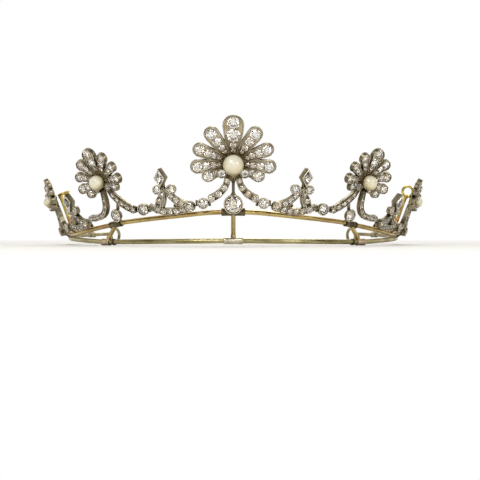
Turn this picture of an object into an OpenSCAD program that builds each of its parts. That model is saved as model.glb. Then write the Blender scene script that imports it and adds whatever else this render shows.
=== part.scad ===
// Diamond tiara with five pearl flowers, festoons and sprigs on a two-wire gold frame.
// Millimetres. The front faces -Y, +Z is up, and the part stands on z = 0.
// A place on the ornament is given by a, the turn of the band seen from above (degrees, 0 at the
// front), and by v, the distance up the leaning surface from the upper wire.

/* [Band in plan] */
// Radius of the front of the band
front_r = 64; // [62:0.5:66]
// Turn at which the front arc ends, where the side struts stand
front_a = 49; // [48:1:50]
// Radius of the sides of the band
side_r = 102; // [98:1:106]
// Turn at which the side arc ends
side_a = 93; // [91:1:95]
// Radius of the arms behind the sides
back_r = 87; // [84:1:90]
// Turn at which the arms end
back_a = 123; // [121:1:125]

/* [Wires and eyes] */
// Thickness of the upper and lower wires
wire_d = 2; // [1.8:0.1:2.2]
// Thickness of the wire of each arm's end
arm_d = 1.6; // [1.4:0.1:1.8]
// Height of the lower wire at the front
low_front_z = 2.1; // [1.9:0.1:2.4]
// Outer width of the side sleeves, which the tiara stands on
side_sleeve_d = 2.9; // [2.7:0.1:3.1]
// Length of the side sleeves on the upper wire
side_sleeve_l = 7.4; // [6.5:0.1:8]
// Outer width of the centre sleeve on the upper wire
mid_sleeve_d = 3.2; // [3:0.1:3.4]
// Length of the centre sleeve on the upper wire
mid_sleeve_l = 9.5; // [8:0.1:10]
// Thickness of the struts between the wires
strut_d = 1.8; // [1.5:0.1:2]
// Outer width of the ribbon eye on each arm
eye_d = 7.8; // [7.4:0.1:8.2]
// Inner width of the ribbon eye
eye_bore = 5.4; // [5:0.1:5.8]
// Length of the ribbon eye's straight inner wall
eye_wall = 1; // [0.8:0.1:1.2]
// Thickness of the ribbon eye's rim
eye_t = 1.3; // [1.2:0.1:1.5]

/* [Settings] */
// Thickness of the silver plates
plate_t = 1.9; // [1.7:0.1:2.1]
// Distance of the plates' backs in front of the upper wire
plate_n = 1.2; // [1.1:0.1:1.5]
// Silver left round a small stone
rim = 0.5; // [0.4:0.05:0.6]
// Gap between a stone and the wall of its seat
seat_gap = 0.07; // [0.06:0.01:0.1]
// Angle at which the petals rise from the hub
cup = 10; // [6:1:14]

/* [Flowers] */
// Pearl of the centre flower
pearl_d = 8.3; // [7.8:0.1:8.6]
// Size of the side flowers against the centre one
side_k = 0.74; // [0.7:0.01:0.78]
// Size of the outer flowers against the centre one
outer_k = 0.52; // [0.48:0.01:0.56]
// Height of the centre flower's hub up the surface
centre_v = 20.8; // [20:0.1:22]
// Turn of the side flowers' hubs
side_flower_a = 47.8; // [47:0.1:49]
// Height of the side flowers' hubs up the surface
side_flower_v = 19.5; // [19:0.1:21]
// Turn of the outer flowers' hubs
outer_flower_a = 76; // [75:0.5:78]
// Height of the outer flowers' hubs up the surface
outer_flower_v = 17.4; // [17:0.1:18]

/* [Hidden] */
$fn = 48;

wire_r = wire_d / 2;
arm_r = arm_d / 2;
sleeve_z = side_sleeve_d / 2;
eye_z = eye_d / 2;
arm_end_z = eye_z + 0.7;
upper_front_z = 13.6;
merge_a = 72;
merge_end_a = 81;
arm_sleeve_a = 112;
arm_sleeve_d = 2.5;
mid_low_sleeve_d = 2.8;
arm_sleeve_l = 5;
arm_joint_l = 3;
arm_joint_d = wire_d + 0.4;
// Middle of the collar over the joint, which starts just behind the lower wire's end
arm_start_a = 94.05;
low_sleeve_l = 6;
mid_low_sleeve_l = 7.6;
low_sleeve_a = 53;
side_sleeve_slope = 7.5;
strut_foot_a = 52;
strut_sink = 0.8;
solder_gap = 0.05;
collar = 0.1;
joint_l = 1.6;
side_by_side = wire_d + collar + solder_gap;
foot_strut_z = 8.65;
foot_slope = 0.122;
// Middle of the part's box behind the front wire, which puts the box's middle at y = 0
box_mid_y = 63.115;
bury = 0.3;
cut = 0.01;
web = 0.47;
least_stone = 1.45;
pearl_gap = 0.06;
pearl_sink = 0.3;
// How far a stone's girdle lies below the metal round it
stone_sink = 0.1;

// Colours
gold = "goldenrod";
red_gold = "darkgoldenrod";
silver = "darkgray";
diamond = "aliceblue";
cream = "cornsilk";

// Plan of the band: three arcs that touch, as [x, y] at turn a
function dir(a) = [sin(a), -cos(a)];
front_c = [0, front_r - box_mid_y];
front_end = front_c + front_r * dir(front_a);
side_c = front_end - side_r * dir(front_a);
side_end = side_c + side_r * dir(side_a);
back_c = side_end - back_r * dir(side_a);
function arc_c(a) = a < front_a ? front_c : a < side_a ? side_c : back_c;
function arc_r(a) = a < front_a ? front_r : a < side_a ? side_r : back_r;
function plan(a) = arc_c(a) + arc_r(a) * dir(a);

// Length along the band from the front to turn a
function run(a) = (min(a, front_a) * front_r + max(0, min(a, side_a) - front_a) * side_r
    + max(0, a - side_a) * back_r) * PI / 180;

// Heights of the wires: rows of turn and height, straight in between
function low_z(a) = a < low_sleeve_a
    ? low_front_z + (sleeve_z - low_front_z) * run(a) / run(low_sleeve_a)
    : sleeve_z + (arm_end_z - sleeve_z) * (run(a) - run(low_sleeve_a)) / (run(back_a) - run(low_sleeve_a));
arm_rise = atan((arm_end_z - sleeve_z) / (run(back_a) - run(low_sleeve_a)));
UPPER = [[0, upper_front_z], [8, 13.45], [26, 11.5], [front_a - 2.5, 9.4], [front_a, 8.85],
  [60, 6.6], [merge_a, low_z(merge_a) + side_by_side], [merge_end_a, low_z(merge_end_a) + side_by_side]];
BARE_JOINTS = [1, 2, 5, 6];
LOWER = [[0, low_front_z], [front_a, low_z(front_a)], [low_sleeve_a, sleeve_z], [side_a, low_z(side_a)]];
function upper_z(a) = lookup(a, UPPER);

// The leaning surface: its foot line, its lean and the place of a point on it
function depth(a) = plan(a).y + box_mid_y;
function foot_z(a) = let(y = depth(a), s = depth(front_a))
    y < s ? upper_front_z - (upper_front_z - foot_strut_z) * y / s
    : max(foot_strut_z - foot_slope * (y - s), low_z(a));
function lean(a) = 15.7 + 0.06 * min(a, 80);

module mirrored(side) {
  mirror([side == "left" ? 1 : 0, 0, 0]) children();
}

// Puts its children on the surface: X along the band, Y up the surface and Z outward
module spot(a, v = 0, n = 0) {
  translate([plan(a).x, plan(a).y, foot_z(a)])
    rotate([0, 0, a])
      rotate([90 + lean(a), 0, 0])
        translate([0, v, n])
          children();
}

// One stretch of wire between two turns on the same arc, with its ends at heights z1 and z2
module wire_arc(a1, a2, z1, z2, r) {
  half = (a2 - a1) / 2;
  c = arc_c(a1);
  rad = arc_r(a1);
  translate([c.x, c.y, (z1 + z2) / 2])
    rotate([0, 0, a1 + half - 90])
      rotate([asin((z2 - z1) / (2 * rad * sin(half))), 0, 0])
        rotate([0, 0, -half])
          rotate_extrude(angle = 2 * half)
            translate([rad, 0])
              circle(r);
}

// Short collar over the bend between two stretches of wire
module wire_joint(a, z, slope) {
  sleeve(a, z, joint_l, wire_d + 2 * collar, slope);
}

module sleeve(a, z, len, d, slope = 0) {
  translate([plan(a).x, plan(a).y, z])
    rotate([0, 0, a])
      rotate([0, 90 + slope, 0])
        cylinder(h = len, d = d, center = true);
}

// Angle at which the upper wire falls at one of its bends
function fall(i) = atan((UPPER[i][1] - UPPER[i + 1][1]) / (run(UPPER[i + 1][0]) - run(UPPER[i][0])));
function mean_slope(i) = (fall(i - 1) + fall(i)) / 2;

// Upper wire of one side, and the sleeve and strut that hold it at the end of the front arc
module upper_side() {
  for (i = [0 : len(UPPER) - 2])
    wire_arc(UPPER[i][0], UPPER[i + 1][0], UPPER[i][1], UPPER[i + 1][1], wire_r);
  for (i = BARE_JOINTS) wire_joint(UPPER[i][0], UPPER[i][1], mean_slope(i));
  sleeve(front_a, upper_z(front_a), side_sleeve_l, side_sleeve_d, side_sleeve_slope);
  difference() {
    rod(over_band(front_a, upper_z(front_a)), over_band(strut_foot_a, sleeve_z + strut_sink));
    sleeve(low_sleeve_a, sleeve_z, low_sleeve_l + 2, side_sleeve_d + 2 * solder_gap);
  }
}

// Lower wire of one side with the sleeve that it stands on
module lower_side() {
  for (i = [0 : len(LOWER) - 2])
    wire_arc(LOWER[i][0], LOWER[i + 1][0], LOWER[i][1], LOWER[i + 1][1], wire_r);
  wire_joint(front_a, low_z(front_a), 0);
  sleeve(low_sleeve_a, sleeve_z, low_sleeve_l, side_sleeve_d);
}

// Thinner wire behind the lower one, from the collar over their joint to the ribbon eye
module arm(side) {
  $fn = 64;
  color(gold)
    mirrored(side) {
      sleeve(arm_start_a, low_z(arm_start_a), arm_joint_l, arm_joint_d, -arm_rise);
      wire_arc(arm_start_a, back_a, low_z(arm_start_a), arm_end_z, arm_r);
      sleeve(arm_sleeve_a, low_z(arm_sleeve_a), arm_sleeve_l, arm_sleeve_d, -arm_rise);
      eye();
    }
}

function over_band(a, z) = [plan(a).x, plan(a).y, z];

// Strut from point p to point q
module rod(p, q) {
  way = q - p;
  translate(p)
    rotate([0, acos(way.z / norm(way)), atan2(way.y, way.x)])
      cylinder(h = norm(way), d = strut_d);
}

// Ribbon eye: a ring with a straight bore and a rounded rim, in the arm's upright plane
module eye() {
  arm_end = plan(back_a);
  translate([arm_end.x, arm_end.y, eye_z])
    rotate([0, 0, back_a])
      translate([eye_d / 2 - bury, 0, 0])
        rotate([90, 0, 0])
          rotate_extrude() {
            translate([eye_bore / 2, -eye_wall / 2]) square([eye_t / 2, eye_wall]);
            intersection() {
              translate([eye_bore / 2, -eye_t]) square(2 * eye_t);
              translate([(eye_d - eye_t) / 2, 0]) circle(d = eye_t);
            }
          }
}

module upper_wire() {
  $fn = 64;
  color(gold) {
    for (side = ["left", "right"]) mirrored(side) upper_side();
    sleeve(0, upper_front_z, mid_sleeve_l, mid_sleeve_d);
    rod(over_band(0, upper_front_z), over_band(0, low_front_z + mid_low_sleeve_d / 2 + solder_gap));
  }
}

module lower_wire() {
  $fn = 64;
  color(gold) {
    for (side = ["left", "right"]) mirrored(side) lower_side();
    sleeve(0, low_front_z, mid_low_sleeve_l, mid_low_sleeve_d);
  }
}

// A cut stone: table, eight star and eight main facets, girdle and pointed pavilion.
// Its girdle's top is at z = 0, so it sits flush in a seat whose plate ends there.
module stone(d) {
  table_r = 0.29 * d;
  crown = 0.16 * d;
  girdle = 0.04 * d;
  pavilion = 0.42 * d;
  ring = function(r, z, turn) [for (i = [0 : 7]) [r * cos(i * 45 + turn), r * sin(i * 45 + turn), z]];
  points = concat(ring(table_r, crown, 0), ring(d / 2, 0, 22.5), ring(d / 2, -girdle, 22.5),
      [[0, 0, -girdle - pavilion]]);
  faces = concat([[7, 6, 5, 4, 3, 2, 1, 0]],
      [for (i = [0 : 7]) [i, (i + 1) % 8, 8 + i]],
      [for (i = [0 : 7]) [(i + 1) % 8, 8 + (i + 1) % 8, 8 + i]],
      [for (i = [0 : 7]) [8 + i, 8 + (i + 1) % 8, 16 + (i + 1) % 8, 16 + i]],
      [for (i = [0 : 7]) [16 + i, 16 + (i + 1) % 8, 24]]);
  polyhedron(points, faces);
}

// Four-sided stone for the sprigs' lozenges
module lozenge_stone(w, h) {
  crown = 0.5;
  girdle = 0.15;
  pavilion = 1.3;
  table_k = 0.55;
  side_k = function(i) i % 2 == 0 ? 1 : 0.78;
  ring = function(k, z) [for (i = [0 : 7])
      [w / 2 * k * cos(i * 45) * side_k(i), h / 2 * k * sin(i * 45) * side_k(i), z]];
  points = concat(ring(table_k, crown), ring(1, 0), ring(1, -girdle), [[0, 0, -girdle - pavilion]]);
  faces = concat([[7, 6, 5, 4, 3, 2, 1, 0]],
      [for (i = [0 : 7]) [i, (i + 1) % 8, 8 + (i + 1) % 8, 8 + i]],
      [for (i = [0 : 7]) [8 + i, 8 + (i + 1) % 8, 16 + (i + 1) % 8, 16 + i]],
      [for (i = [0 : 7]) [16 + i, 16 + (i + 1) % 8, 24]]);
  polyhedron(points, faces);
}

// Flat outline of a chain of round settings: rows of [x, y, width]
module chain_outline(rows) {
  for (p = rows) translate([p[0], p[1]]) circle(d = p[2]);
  if (len(rows) > 1)
    for (i = [0 : len(rows) - 2]) web_outline(rows[i], rows[i + 1]);
}

module web_outline(p, q) {
  gap = norm([q[0] - p[0], q[1] - p[1]]);
  translate([p[0], p[1]])
    rotate(atan2(q[1] - p[1], q[0] - p[0]))
      polygon([[0, -web * p[2]], [gap, -web * q[2]], [gap, web * q[2]], [0, web * p[2]]]);
}

// A round collet with a stepped seat for a stone, standing on z = 0 and h high
module collet(d, h) {
  difference() {
    cylinder(h = h, d = d + 2 * rim);
    seat(d, h);
  }
}

// The hole that a stone sits in: its wall, and a narrower way through below the ledge
module seat(d, h) {
  depth_k = 0.16;
  through_k = 0.84;
  translate([0, 0, h - depth_k * d]) cylinder(h = h, d = d + 2 * seat_gap);
  translate([0, 0, -cut]) cylinder(h = h, d = through_k * d);
}

// Petals of a flower, as [turn, tip distance, tip width, root width, stones as [distance, width]]
PETALS = [
  [90, 20.1, 8.6, 3.0, [[17.5, 4.7], [12.3, 5.2], [8.3, 2.2], [5.9, 1.5]]],
  [54.5, 18.2, 6.2, 2.8, [[15.2, 3.9], [11.3, 3.2], [8.1, 2.2]]],
  [23.5, 17.6, 5.6, 2.4, [[14.9, 3.5], [11.3, 2.9], [8.4, 2.0], [6.3, 1.4]]],
  [-4.5, 17.4, 5.6, 2.4, [[14.7, 3.5], [11.2, 2.9], [8.3, 2.0], [6.2, 1.4]]],
  [-27, 14.0, 5.0, 2.2, [[11.5, 3.6], [8.2, 2.0]]]
];
HUB_STONE = [-40, 6, 3];
hub_r = 5;
hub_rise = 0.6;
function mirrored_petal(p) = concat([180 - p[0]], [for (i = [1 : 4]) p[i]]);
function both(rows) = concat(rows, [for (p = rows) if (p[0] != 90) mirrored_petal(p)]);

// Places its children on a petal, X outward along it, at the petal's front face
module on_petal(turn) {
  rotate([0, 0, turn])
    rotate([0, -cup, 0])
      children();
}

module petal_plate(p, k) {
  tip = [k * (p[1] - p[2] / 2), 0, k * p[2]];
  on_petal(p[0])
    linear_extrude(plate_t)
      chain_outline([[k * 3, 0, k * p[3]], tip]);
}

module petal_seats(p, k) {
  on_petal(p[0])
    for (s = p[4])
      if (s[1] * k > least_stone) translate([s[0] * k, 0, 0]) seat(s[1] * k, plate_t);
}

// Silver of a flower, its hub's back at z = 0
module flower(k) {
  difference() {
    union() {
      for (p = both(PETALS)) petal_plate(p, k);
      cylinder(h = plate_t - 0.2, r = hub_r * k);
      for (side = [-1, 1])
        translate(hub_spot(side, k)) cylinder(h = plate_t + hub_rise, d = k * HUB_STONE[2] + 2 * rim);
      pearl_cup(k);
    }
    flower_clearance(k);
  }
}

function hub_spot(side, k) = k * HUB_STONE[1] * [side * cos(HUB_STONE[0]), sin(HUB_STONE[0]), 0];
function pearl_z(k) = plate_t + k * pearl_d / 2 - pearl_sink;

// What must stay free in a stem that runs under a flower: the stone seats and the pearl
module flower_clearance(k) {
  for (p = both(PETALS)) petal_seats(p, k);
  for (side = [-1, 1]) translate(hub_spot(side, k)) seat(k * HUB_STONE[2], plate_t + hub_rise);
  translate([0, 0, pearl_z(k)]) sphere(pearl_d * k / 2 + pearl_gap, $fn = 64);
}

// The cup and peg under a pearl
module pearl_cup(k) {
  cylinder(h = plate_t + 0.5, r = 2.2 * k);
}

module pearl(k) {
  translate([0, 0, pearl_z(k)])
    sphere(d = pearl_d * k, $fn = 64);
}

// Stones of a flower; skip is how many of the top petal's stones are nodes of their own
module flower_stones(k, skip) {
  for (p = both(PETALS))
    on_petal(p[0])
      for (i = [(p[0] == 90 ? skip : 0) : len(p[4]) - 1])
        if (p[4][i][1] * k > least_stone)
          translate([p[4][i][0] * k, 0, plate_t - stone_sink]) stone(p[4][i][1] * k);
  for (side = [-1, 1])
    translate(hub_spot(side, k) + [0, 0, plate_t + hub_rise - stone_sink]) stone(k * HUB_STONE[2]);
}

module top_stone(i) {
  color(diamond) spot(0, centre_v, plate_n)
    on_petal(90)
      translate([PETALS[0][4][i][0], 0, plate_t - stone_sink])
        stone(PETALS[0][4][i][1]);
}

module drop_stone() {
  color(diamond)
    spot(0, DROP[0], drop_n)
      translate([0, 0, DROP_H - stone_sink])
        stone(DROP[1]);
}

// Stones of a strip as [x, y, width] become settings with silver round them
function settings(rows) = [for (p = rows) [p[0], p[1], p[2] + 2 * rim]];

module strip_plate(rows) {
  linear_extrude(plate_t) chain_outline(settings(rows));
}

module strip_seats(rows) {
  for (p = rows) translate([p[0], p[1], 0]) seat(p[2], plate_t);
}

module strip_stones(rows) {
  for (p = rows) translate([p[0], p[1], plate_t - stone_sink]) stone(p[2]);
}

// Stems of the centre flower, from its hub down to the first collet, on the surface at stem_a
stem_a = 5.5;
STEM = [[-4.3, 13.6, 1.6], [-3.1, 10.6, 1.8], [-0.9, 8.1, 2.1], [2.1, 6.3, 2.2]];
STEM_ROOT = [-4.6, 17.4, 1.4];
FIRST = [10.2, 4.6, 3.5];
STEM_END = [5.2, 4.8, 2];
DROP = [4.1, 6.8];
DROP_H = 2.6;
drop_n = plate_n + 0.6;
bar_n = plate_n + 0.3;
bar_w = 1;
bar_t = 1.2;

module stem_plate(root, rows, last) {
  strip_plate(concat([root], rows, [last]));
}

module centre_spray() {
  color(silver) {
    spot(0, centre_v, plate_n) flower(1);
    spot(0, DROP[0], drop_n) collet(DROP[1], DROP_H);
    spot(0, DROP[0] + DROP[1] / 2, bar_n) translate([-bar_w / 2, 0, 0]) cube([bar_w, 10, bar_t]);
    for (side = ["left", "right"]) mirrored(side) {
      difference() {
        spot(stem_a, 0, plate_n) stem_plate(STEM_ROOT, STEM, STEM_END);
        spot(stem_a, 0, plate_n) strip_seats(STEM);
        spot(0, centre_v, plate_n) flower_clearance(1);
        spot(FIRST[0], FIRST[1], 0) cylinder(h = 8, d = FIRST[2] + rim);
      }
      band_collet(FIRST);
    }
  }
}

module centre_stones() {
  color(diamond) {
    spot(0, centre_v, plate_n) flower_stones(1, 2);
    for (side = ["left", "right"]) mirrored(side) {
      spot(stem_a, 0, plate_n) strip_stones(STEM);
      band_stone(FIRST);
    }
  }
}

// Festoon with its sprig, as rows of [x, y, stone width] on a flat plate; k scales the heights
LOWER_ROW = [[-7.9, 4.0, 3.2], [-4.9, 2.6, 2.1], [-2.1, 2.1, 2.1], [0.7, 2.0, 2.1], [3.5, 2.1, 2.1],
  [6.2, 2.7, 2.1]];
BRANCH = [[-4.6, 5.4, 2.0], [-2.3, 6.6, 2.0], [-0.3, 8.4, 1.8]];
OUTER_STRIP = [[3.7, 9.0, 1.6], [5.0, 6.6, 2.0]];
FORK = [2.6, 11.4, 0.8];
LEAVES = [[-0.8, 11.2, 3.3], [5.4, 11.1, 2.9]];
FESTOON_END = [9.0, 3.9, 1.6];
LOZENGE = [2.6, 16.2, 5.6, 7.8];
lozenge_rise = 1;
function raised(rows, k) = [for (p = rows) [p[0], p[1] * k, p[2]]];
function fork(k) = raised([FORK], k)[0];
function leaf(p, side, k) = [p[0] + 2 * side * (1 - k), p[1] * k + 2 * (1 - k), p[2] * (0.3 + 0.7 * k)];
function leaves(k) = [leaf(LEAVES[0], -1, k), leaf(LEAVES[1], 1, k)];

function festoon_rows(k) = concat(raised(concat(LOWER_ROW, BRANCH, OUTER_STRIP), k), leaves(k));

module lozenge_outline(inset) {
  w = LOZENGE[2] / 2 - inset;
  h = LOZENGE[3] / 2 - inset * 1.3;
  polygon([[w, 0], [0, h], [-w, 0], [0, -h]]);
}

module at_lozenge(k) {
  translate([LOZENGE[0], LOZENGE[1] * k + (1 - k) * 1.5, 0]) children();
}

module festoon_plates(k) {
  low = raised(LOWER_ROW, k);
  strip_plate(low);
  strip_plate(concat([low[0]], raised(BRANCH, k), [fork(k)]));
  strip_plate(concat([fork(k)], raised(OUTER_STRIP, k), [low[5], raised([FESTOON_END], k)[0]]));
  strip_plate([leaves(k)[0], fork(k), leaves(k)[1]]);
  linear_extrude(plate_t) web_outline([FORK[0], FORK[1] * k, 1.8], [FORK[0], FORK[1] * k + 3, 2.2]);
  at_lozenge(k) linear_extrude(plate_t + lozenge_rise) lozenge_outline(0);
}

module festoon_silver(k) {
  difference() {
    festoon_plates(k);
    strip_seats(festoon_rows(k));
    at_lozenge(k) translate([0, 0, -cut]) linear_extrude(plate_t + 2) lozenge_outline(rim + 0.2);
  }
}

module festoon_set(k) {
  strip_stones(festoon_rows(k));
}

// Round collet at a place on the band, and the stone in it
COLLET_RISE = 0.5;
module band_collet(c) {
  spot(c[0], c[1], plate_n) collet(c[2], plate_t + COLLET_RISE);
}
module band_stone(c) {
  spot(c[0], c[1], plate_n) translate([0, 0, plate_t + COLLET_RISE - stone_sink]) stone(c[2]);
}

// Festoon next to the centre and its outer collet: [turn, height, stone width]
festoon_a = 21.5;
SECOND = [32.2, 4.4, 4];

module festoon(side) {
  color(silver)
    mirrored(side) {
      spot(festoon_a, 0, plate_n) festoon_silver(1);
      band_collet(SECOND);
    }
}

module festoon_stones(side) {
  color(diamond)
    mirrored(side) {
      spot(festoon_a, 0, plate_n) festoon_set(1);
      band_stone(SECOND);
    }
}

module lozenge(side, a, lift, k) {
  color(diamond)
    mirrored(side)
      spot(a, lift, plate_n)
        at_lozenge(k)
          translate([0, 0, plate_t + lozenge_rise - 2 * stone_sink])
            lozenge_stone(LOZENGE[2] - 3, LOZENGE[3] - 3.8);
}

// Side flower, its two stems and the collet over the strut
side_turn = -9;
side_yaw = -8;
inner_stem_a = 42;
outer_stem_a = 51;
INNER_STEM = [[-6.9, 5.7, 2.1], [-4.0, 6.9, 2.0], [-1.4, 8.3, 1.9], [0.9, 10.1, 1.8], [3.0, 12.2, 1.8]];
INNER_ROOT = [5.4, 16.4, 1.4];
OUTER_STEM = [[-4.2, 11.8, 1.8], [-3.6, 9.0, 1.9], [-1.9, 6.7, 1.9], [0.6, 5.2, 1.9], [3.4, 4.4, 1.9],
  [6.3, 3.9, 1.9], [9.1, 3.9, 1.9]];
OUTER_ROOT = [-4.4, 15.5, 1.4];
STRUT_STONE = [44.2, 4.1, 4.4];
strut_stone_n = 2.1;

module at_side_flower() {
  spot(side_flower_a, side_flower_v, plate_n)
    rotate([0, side_yaw, 0])
      rotate([0, 0, side_turn])
        children();
}

module side_spray(side) {
  color(silver)
    mirrored(side) {
      at_side_flower() flower(side_k);
      difference() {
        union() {
          spot(inner_stem_a, 0, plate_n) {
            strip_plate(concat(INNER_STEM, [INNER_ROOT]));
            linear_extrude(plate_t) web_outline([2.6, 5.5, 2], [1.2, 9.5, 2]);
          }
          spot(outer_stem_a, 0, plate_n) strip_plate(concat([OUTER_ROOT], OUTER_STEM));
        }
        spot(inner_stem_a, 0, plate_n) strip_seats(INNER_STEM);
        spot(outer_stem_a, 0, plate_n) strip_seats(OUTER_STEM);
        at_side_flower() flower_clearance(side_k);
        strut_stone_seat();
      }
      spot(STRUT_STONE[0], STRUT_STONE[1], strut_stone_n) collet(STRUT_STONE[2], plate_t);
    }
}

module strut_stone_seat() {
  spot(STRUT_STONE[0], STRUT_STONE[1], 0) cylinder(h = 8, d = STRUT_STONE[2] + rim);
}

module side_stones(side) {
  color(diamond)
    mirrored(side) {
      at_side_flower() flower_stones(side_k, 0);
      spot(inner_stem_a, 0, plate_n) strip_stones(INNER_STEM);
      spot(outer_stem_a, 0, plate_n) strip_stones(OUTER_STEM);
    }
}

module strut_stone(side) {
  color(diamond)
    mirrored(side)
      spot(STRUT_STONE[0], STRUT_STONE[1], strut_stone_n)
        translate([0, 0, plate_t - stone_sink])
          stone(STRUT_STONE[2]);
}

// Second festoon, lower than the first
second_festoon_a = 63;
second_lift = 0.8;
second_k = 0.78;

// Short foot between the second festoon and the upper wire: [turn, height]
FOOT = [60.5, 0.93];
foot_n = 1.35;
foot_d = 1.3;
foot_l = 1.6;

module outer_festoon(side) {
  color(silver)
    mirrored(side) {
      spot(second_festoon_a, second_lift, plate_n) festoon_silver(second_k);
      spot(FOOT[0], FOOT[1], foot_n) rotate([-90, 0, 0]) cylinder(h = foot_l, d = foot_d);
    }
}

module outer_festoon_stones(side) {
  color(diamond) mirrored(side) spot(second_festoon_a, second_lift, plate_n) festoon_set(second_k);
}

module outer_lozenge(side) {
  lozenge(side, second_festoon_a, second_lift, second_k);
}

// Outer flower with a stem and a collet on each side of it
outer_turn = -6;
outer_pitch = -9;
SHORT_STEM = [[1.9, 10.8, 1.6], [3.0, 7.9, 1.7], [5.3, 5.7, 1.8]];
SHORT_ROOT = [1.6, 14.6, 1.2];
SHORT_END = [7.6, 4.5, 1.4];
THIRD = [70.8, 4.2, 3];
FOURTH = [81.2, 4.2, 3];

module at_outer_flower() {
  spot(outer_flower_a, outer_flower_v, plate_n)
    rotate([outer_pitch, 0, 0])
      rotate([0, 0, outer_turn])
        children();
}

module at_short_stems() {
  for (turn = [0, 1])
    spot(outer_flower_a, 0, plate_n) mirror([turn, 0, 0]) children();
}

module outer_spray(side) {
  color(silver)
    mirrored(side) {
      at_outer_flower() flower(outer_k);
      difference() {
        at_short_stems() strip_plate(concat([SHORT_ROOT], SHORT_STEM, [SHORT_END]));
        at_short_stems() strip_seats(SHORT_STEM);
        at_outer_flower() flower_clearance(outer_k);
        for (c = [THIRD, FOURTH]) spot(c[0], c[1], 0) cylinder(h = 8, d = c[2] + rim);
      }
      for (c = [THIRD, FOURTH]) band_collet(c);
    }
}

module outer_stones(side) {
  color(diamond)
    mirrored(side) {
      at_outer_flower() flower_stones(outer_k, 0);
      at_short_stems() strip_stones(SHORT_STEM);
      for (c = [THIRD, FOURTH]) band_stone(c);
    }
}

// Yellow post behind the outer flower; its ring handle stands up on the right and lies flat on the left
post_a = 75;
post_n = -0.6;
post_foot_v = 3.4;
post_l = 15.5;
post_d = 1.5;
post_foot_d = 2.2;
post_collar_d = 2;
ring_size = 5.6;
ring_wire = 1.1;
flat_ring_shift = 1.7;

module ring_handle() {
  rotate_extrude() translate([(ring_size - ring_wire) / 2, 0]) circle(d = ring_wire);
}

module ring_post(side) {
  $fn = 64;
  color(red_gold)
    mirrored(side)
      spot(post_a, post_foot_v, post_n)
        rotate([-90, 0, 0]) {
          cylinder(h = post_l, d = post_d);
          cylinder(h = 2.4, d = post_foot_d);
          translate([0, 0, post_l - 1.2]) cylinder(h = 1.4, d = post_collar_d);
          if (side == "left")
            translate([0, flat_ring_shift, post_l + 0.2]) {
              ring_handle();
              rotate([90, 0, 0]) cylinder(h = ring_size - ring_wire, d = ring_wire, center = true);
            }
          else
            translate([0, 0, post_l + ring_size / 2 - ring_wire]) rotate([0, 90, 0]) ring_handle();
        }
}

// Tapering row of small stones along the arm, in three flat plates, and its last collet
ARM_SPOTS = [88.2, 96.4, 104.6];
ARM_ROW = [-4.3, 0, 4.3];
arm_join_l = 14.6;
arm_join_w = 1.6;
last_join_l = 5.2;
arm_row_v = 3.3;
ARM_N = [plate_n, 0.5, -0.2];
LAST = [112.6, 3.9, 3.2];
last_n = -1;
function arm_stone(i) = 2.2 - 0.2 * i;

module arm_festoon(side) {
  color(silver)
    mirrored(side) {
      for (i = [0 : 2])
        spot(ARM_SPOTS[i], arm_row_v, ARM_N[i])
          difference() {
            union() {
              strip_plate([for (x = ARM_ROW) [x, 0, arm_stone(i)]]);
              translate([-arm_join_l, -arm_join_w, 0] / 2) cube([arm_join_l, arm_join_w, plate_t]);
            }
            strip_seats([for (x = ARM_ROW) [x, 0, arm_stone(i)]]);
          }
      spot(LAST[0], LAST[1] - 0.4, last_n + 0.3)
        translate([-last_join_l - LAST[2] / 2 - 0.15, -arm_join_w / 2, 0])
          cube([last_join_l, arm_join_w, plate_t]);
      spot(LAST[0], LAST[1], last_n) collet(LAST[2], plate_t + COLLET_RISE);
    }
}

module arm_stones(side) {
  color(diamond)
    mirrored(side) {
      for (i = [0 : 2])
        spot(ARM_SPOTS[i], arm_row_v, ARM_N[i]) strip_stones([for (x = ARM_ROW) [x, 0, arm_stone(i)]]);
      spot(LAST[0], LAST[1], last_n) translate([0, 0, plate_t + COLLET_RISE - stone_sink]) stone(LAST[2]);
    }
}

module centre_pearl() {
  color(cream) spot(0, centre_v, plate_n) pearl(1);
}

module side_pearl(side) {
  color(cream) mirrored(side) at_side_flower() pearl(side_k);
}

module outer_pearl(side) {
  color(cream) mirrored(side) at_outer_flower() pearl(outer_k);
}

upper_wire();
lower_wire();
arm("left");  // arm_left
arm("right");  // arm_right
centre_spray();
centre_stones();
top_stone(0);  // top_stone_upper
top_stone(1);  // top_stone_lower
drop_stone();
centre_pearl();
festoon("left");  // festoon_left
festoon("right");  // festoon_right
festoon_stones("left");  // festoon_stones_left
festoon_stones("right");  // festoon_stones_right
lozenge("left", festoon_a, 0, 1);  // lozenge_left
lozenge("right", festoon_a, 0, 1);  // lozenge_right
side_spray("left");  // side_spray_left
side_spray("right");  // side_spray_right
side_stones("left");  // side_stones_left
side_stones("right");  // side_stones_right
side_pearl("left");  // side_pearl_left
side_pearl("right");  // side_pearl_right
strut_stone("left");  // strut_stone_left
strut_stone("right");  // strut_stone_right
outer_festoon("left");  // outer_festoon_left
outer_festoon("right");  // outer_festoon_right
outer_festoon_stones("left");  // outer_festoon_stones_left
outer_festoon_stones("right");  // outer_festoon_stones_right
outer_lozenge("left");  // outer_lozenge_left
outer_lozenge("right");  // outer_lozenge_right
outer_spray("left");  // outer_spray_left
outer_spray("right");  // outer_spray_right
outer_stones("left");  // outer_stones_left
outer_stones("right");  // outer_stones_right
outer_pearl("left");  // outer_pearl_left
outer_pearl("right");  // outer_pearl_right
ring_post("left");  // ring_post_left
ring_post("right");  // ring_post_right
arm_festoon("left");  // arm_festoon_left
arm_festoon("right");  // arm_festoon_right
arm_stones("left");  // arm_stones_left
arm_stones("right");  // arm_stones_right
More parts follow.
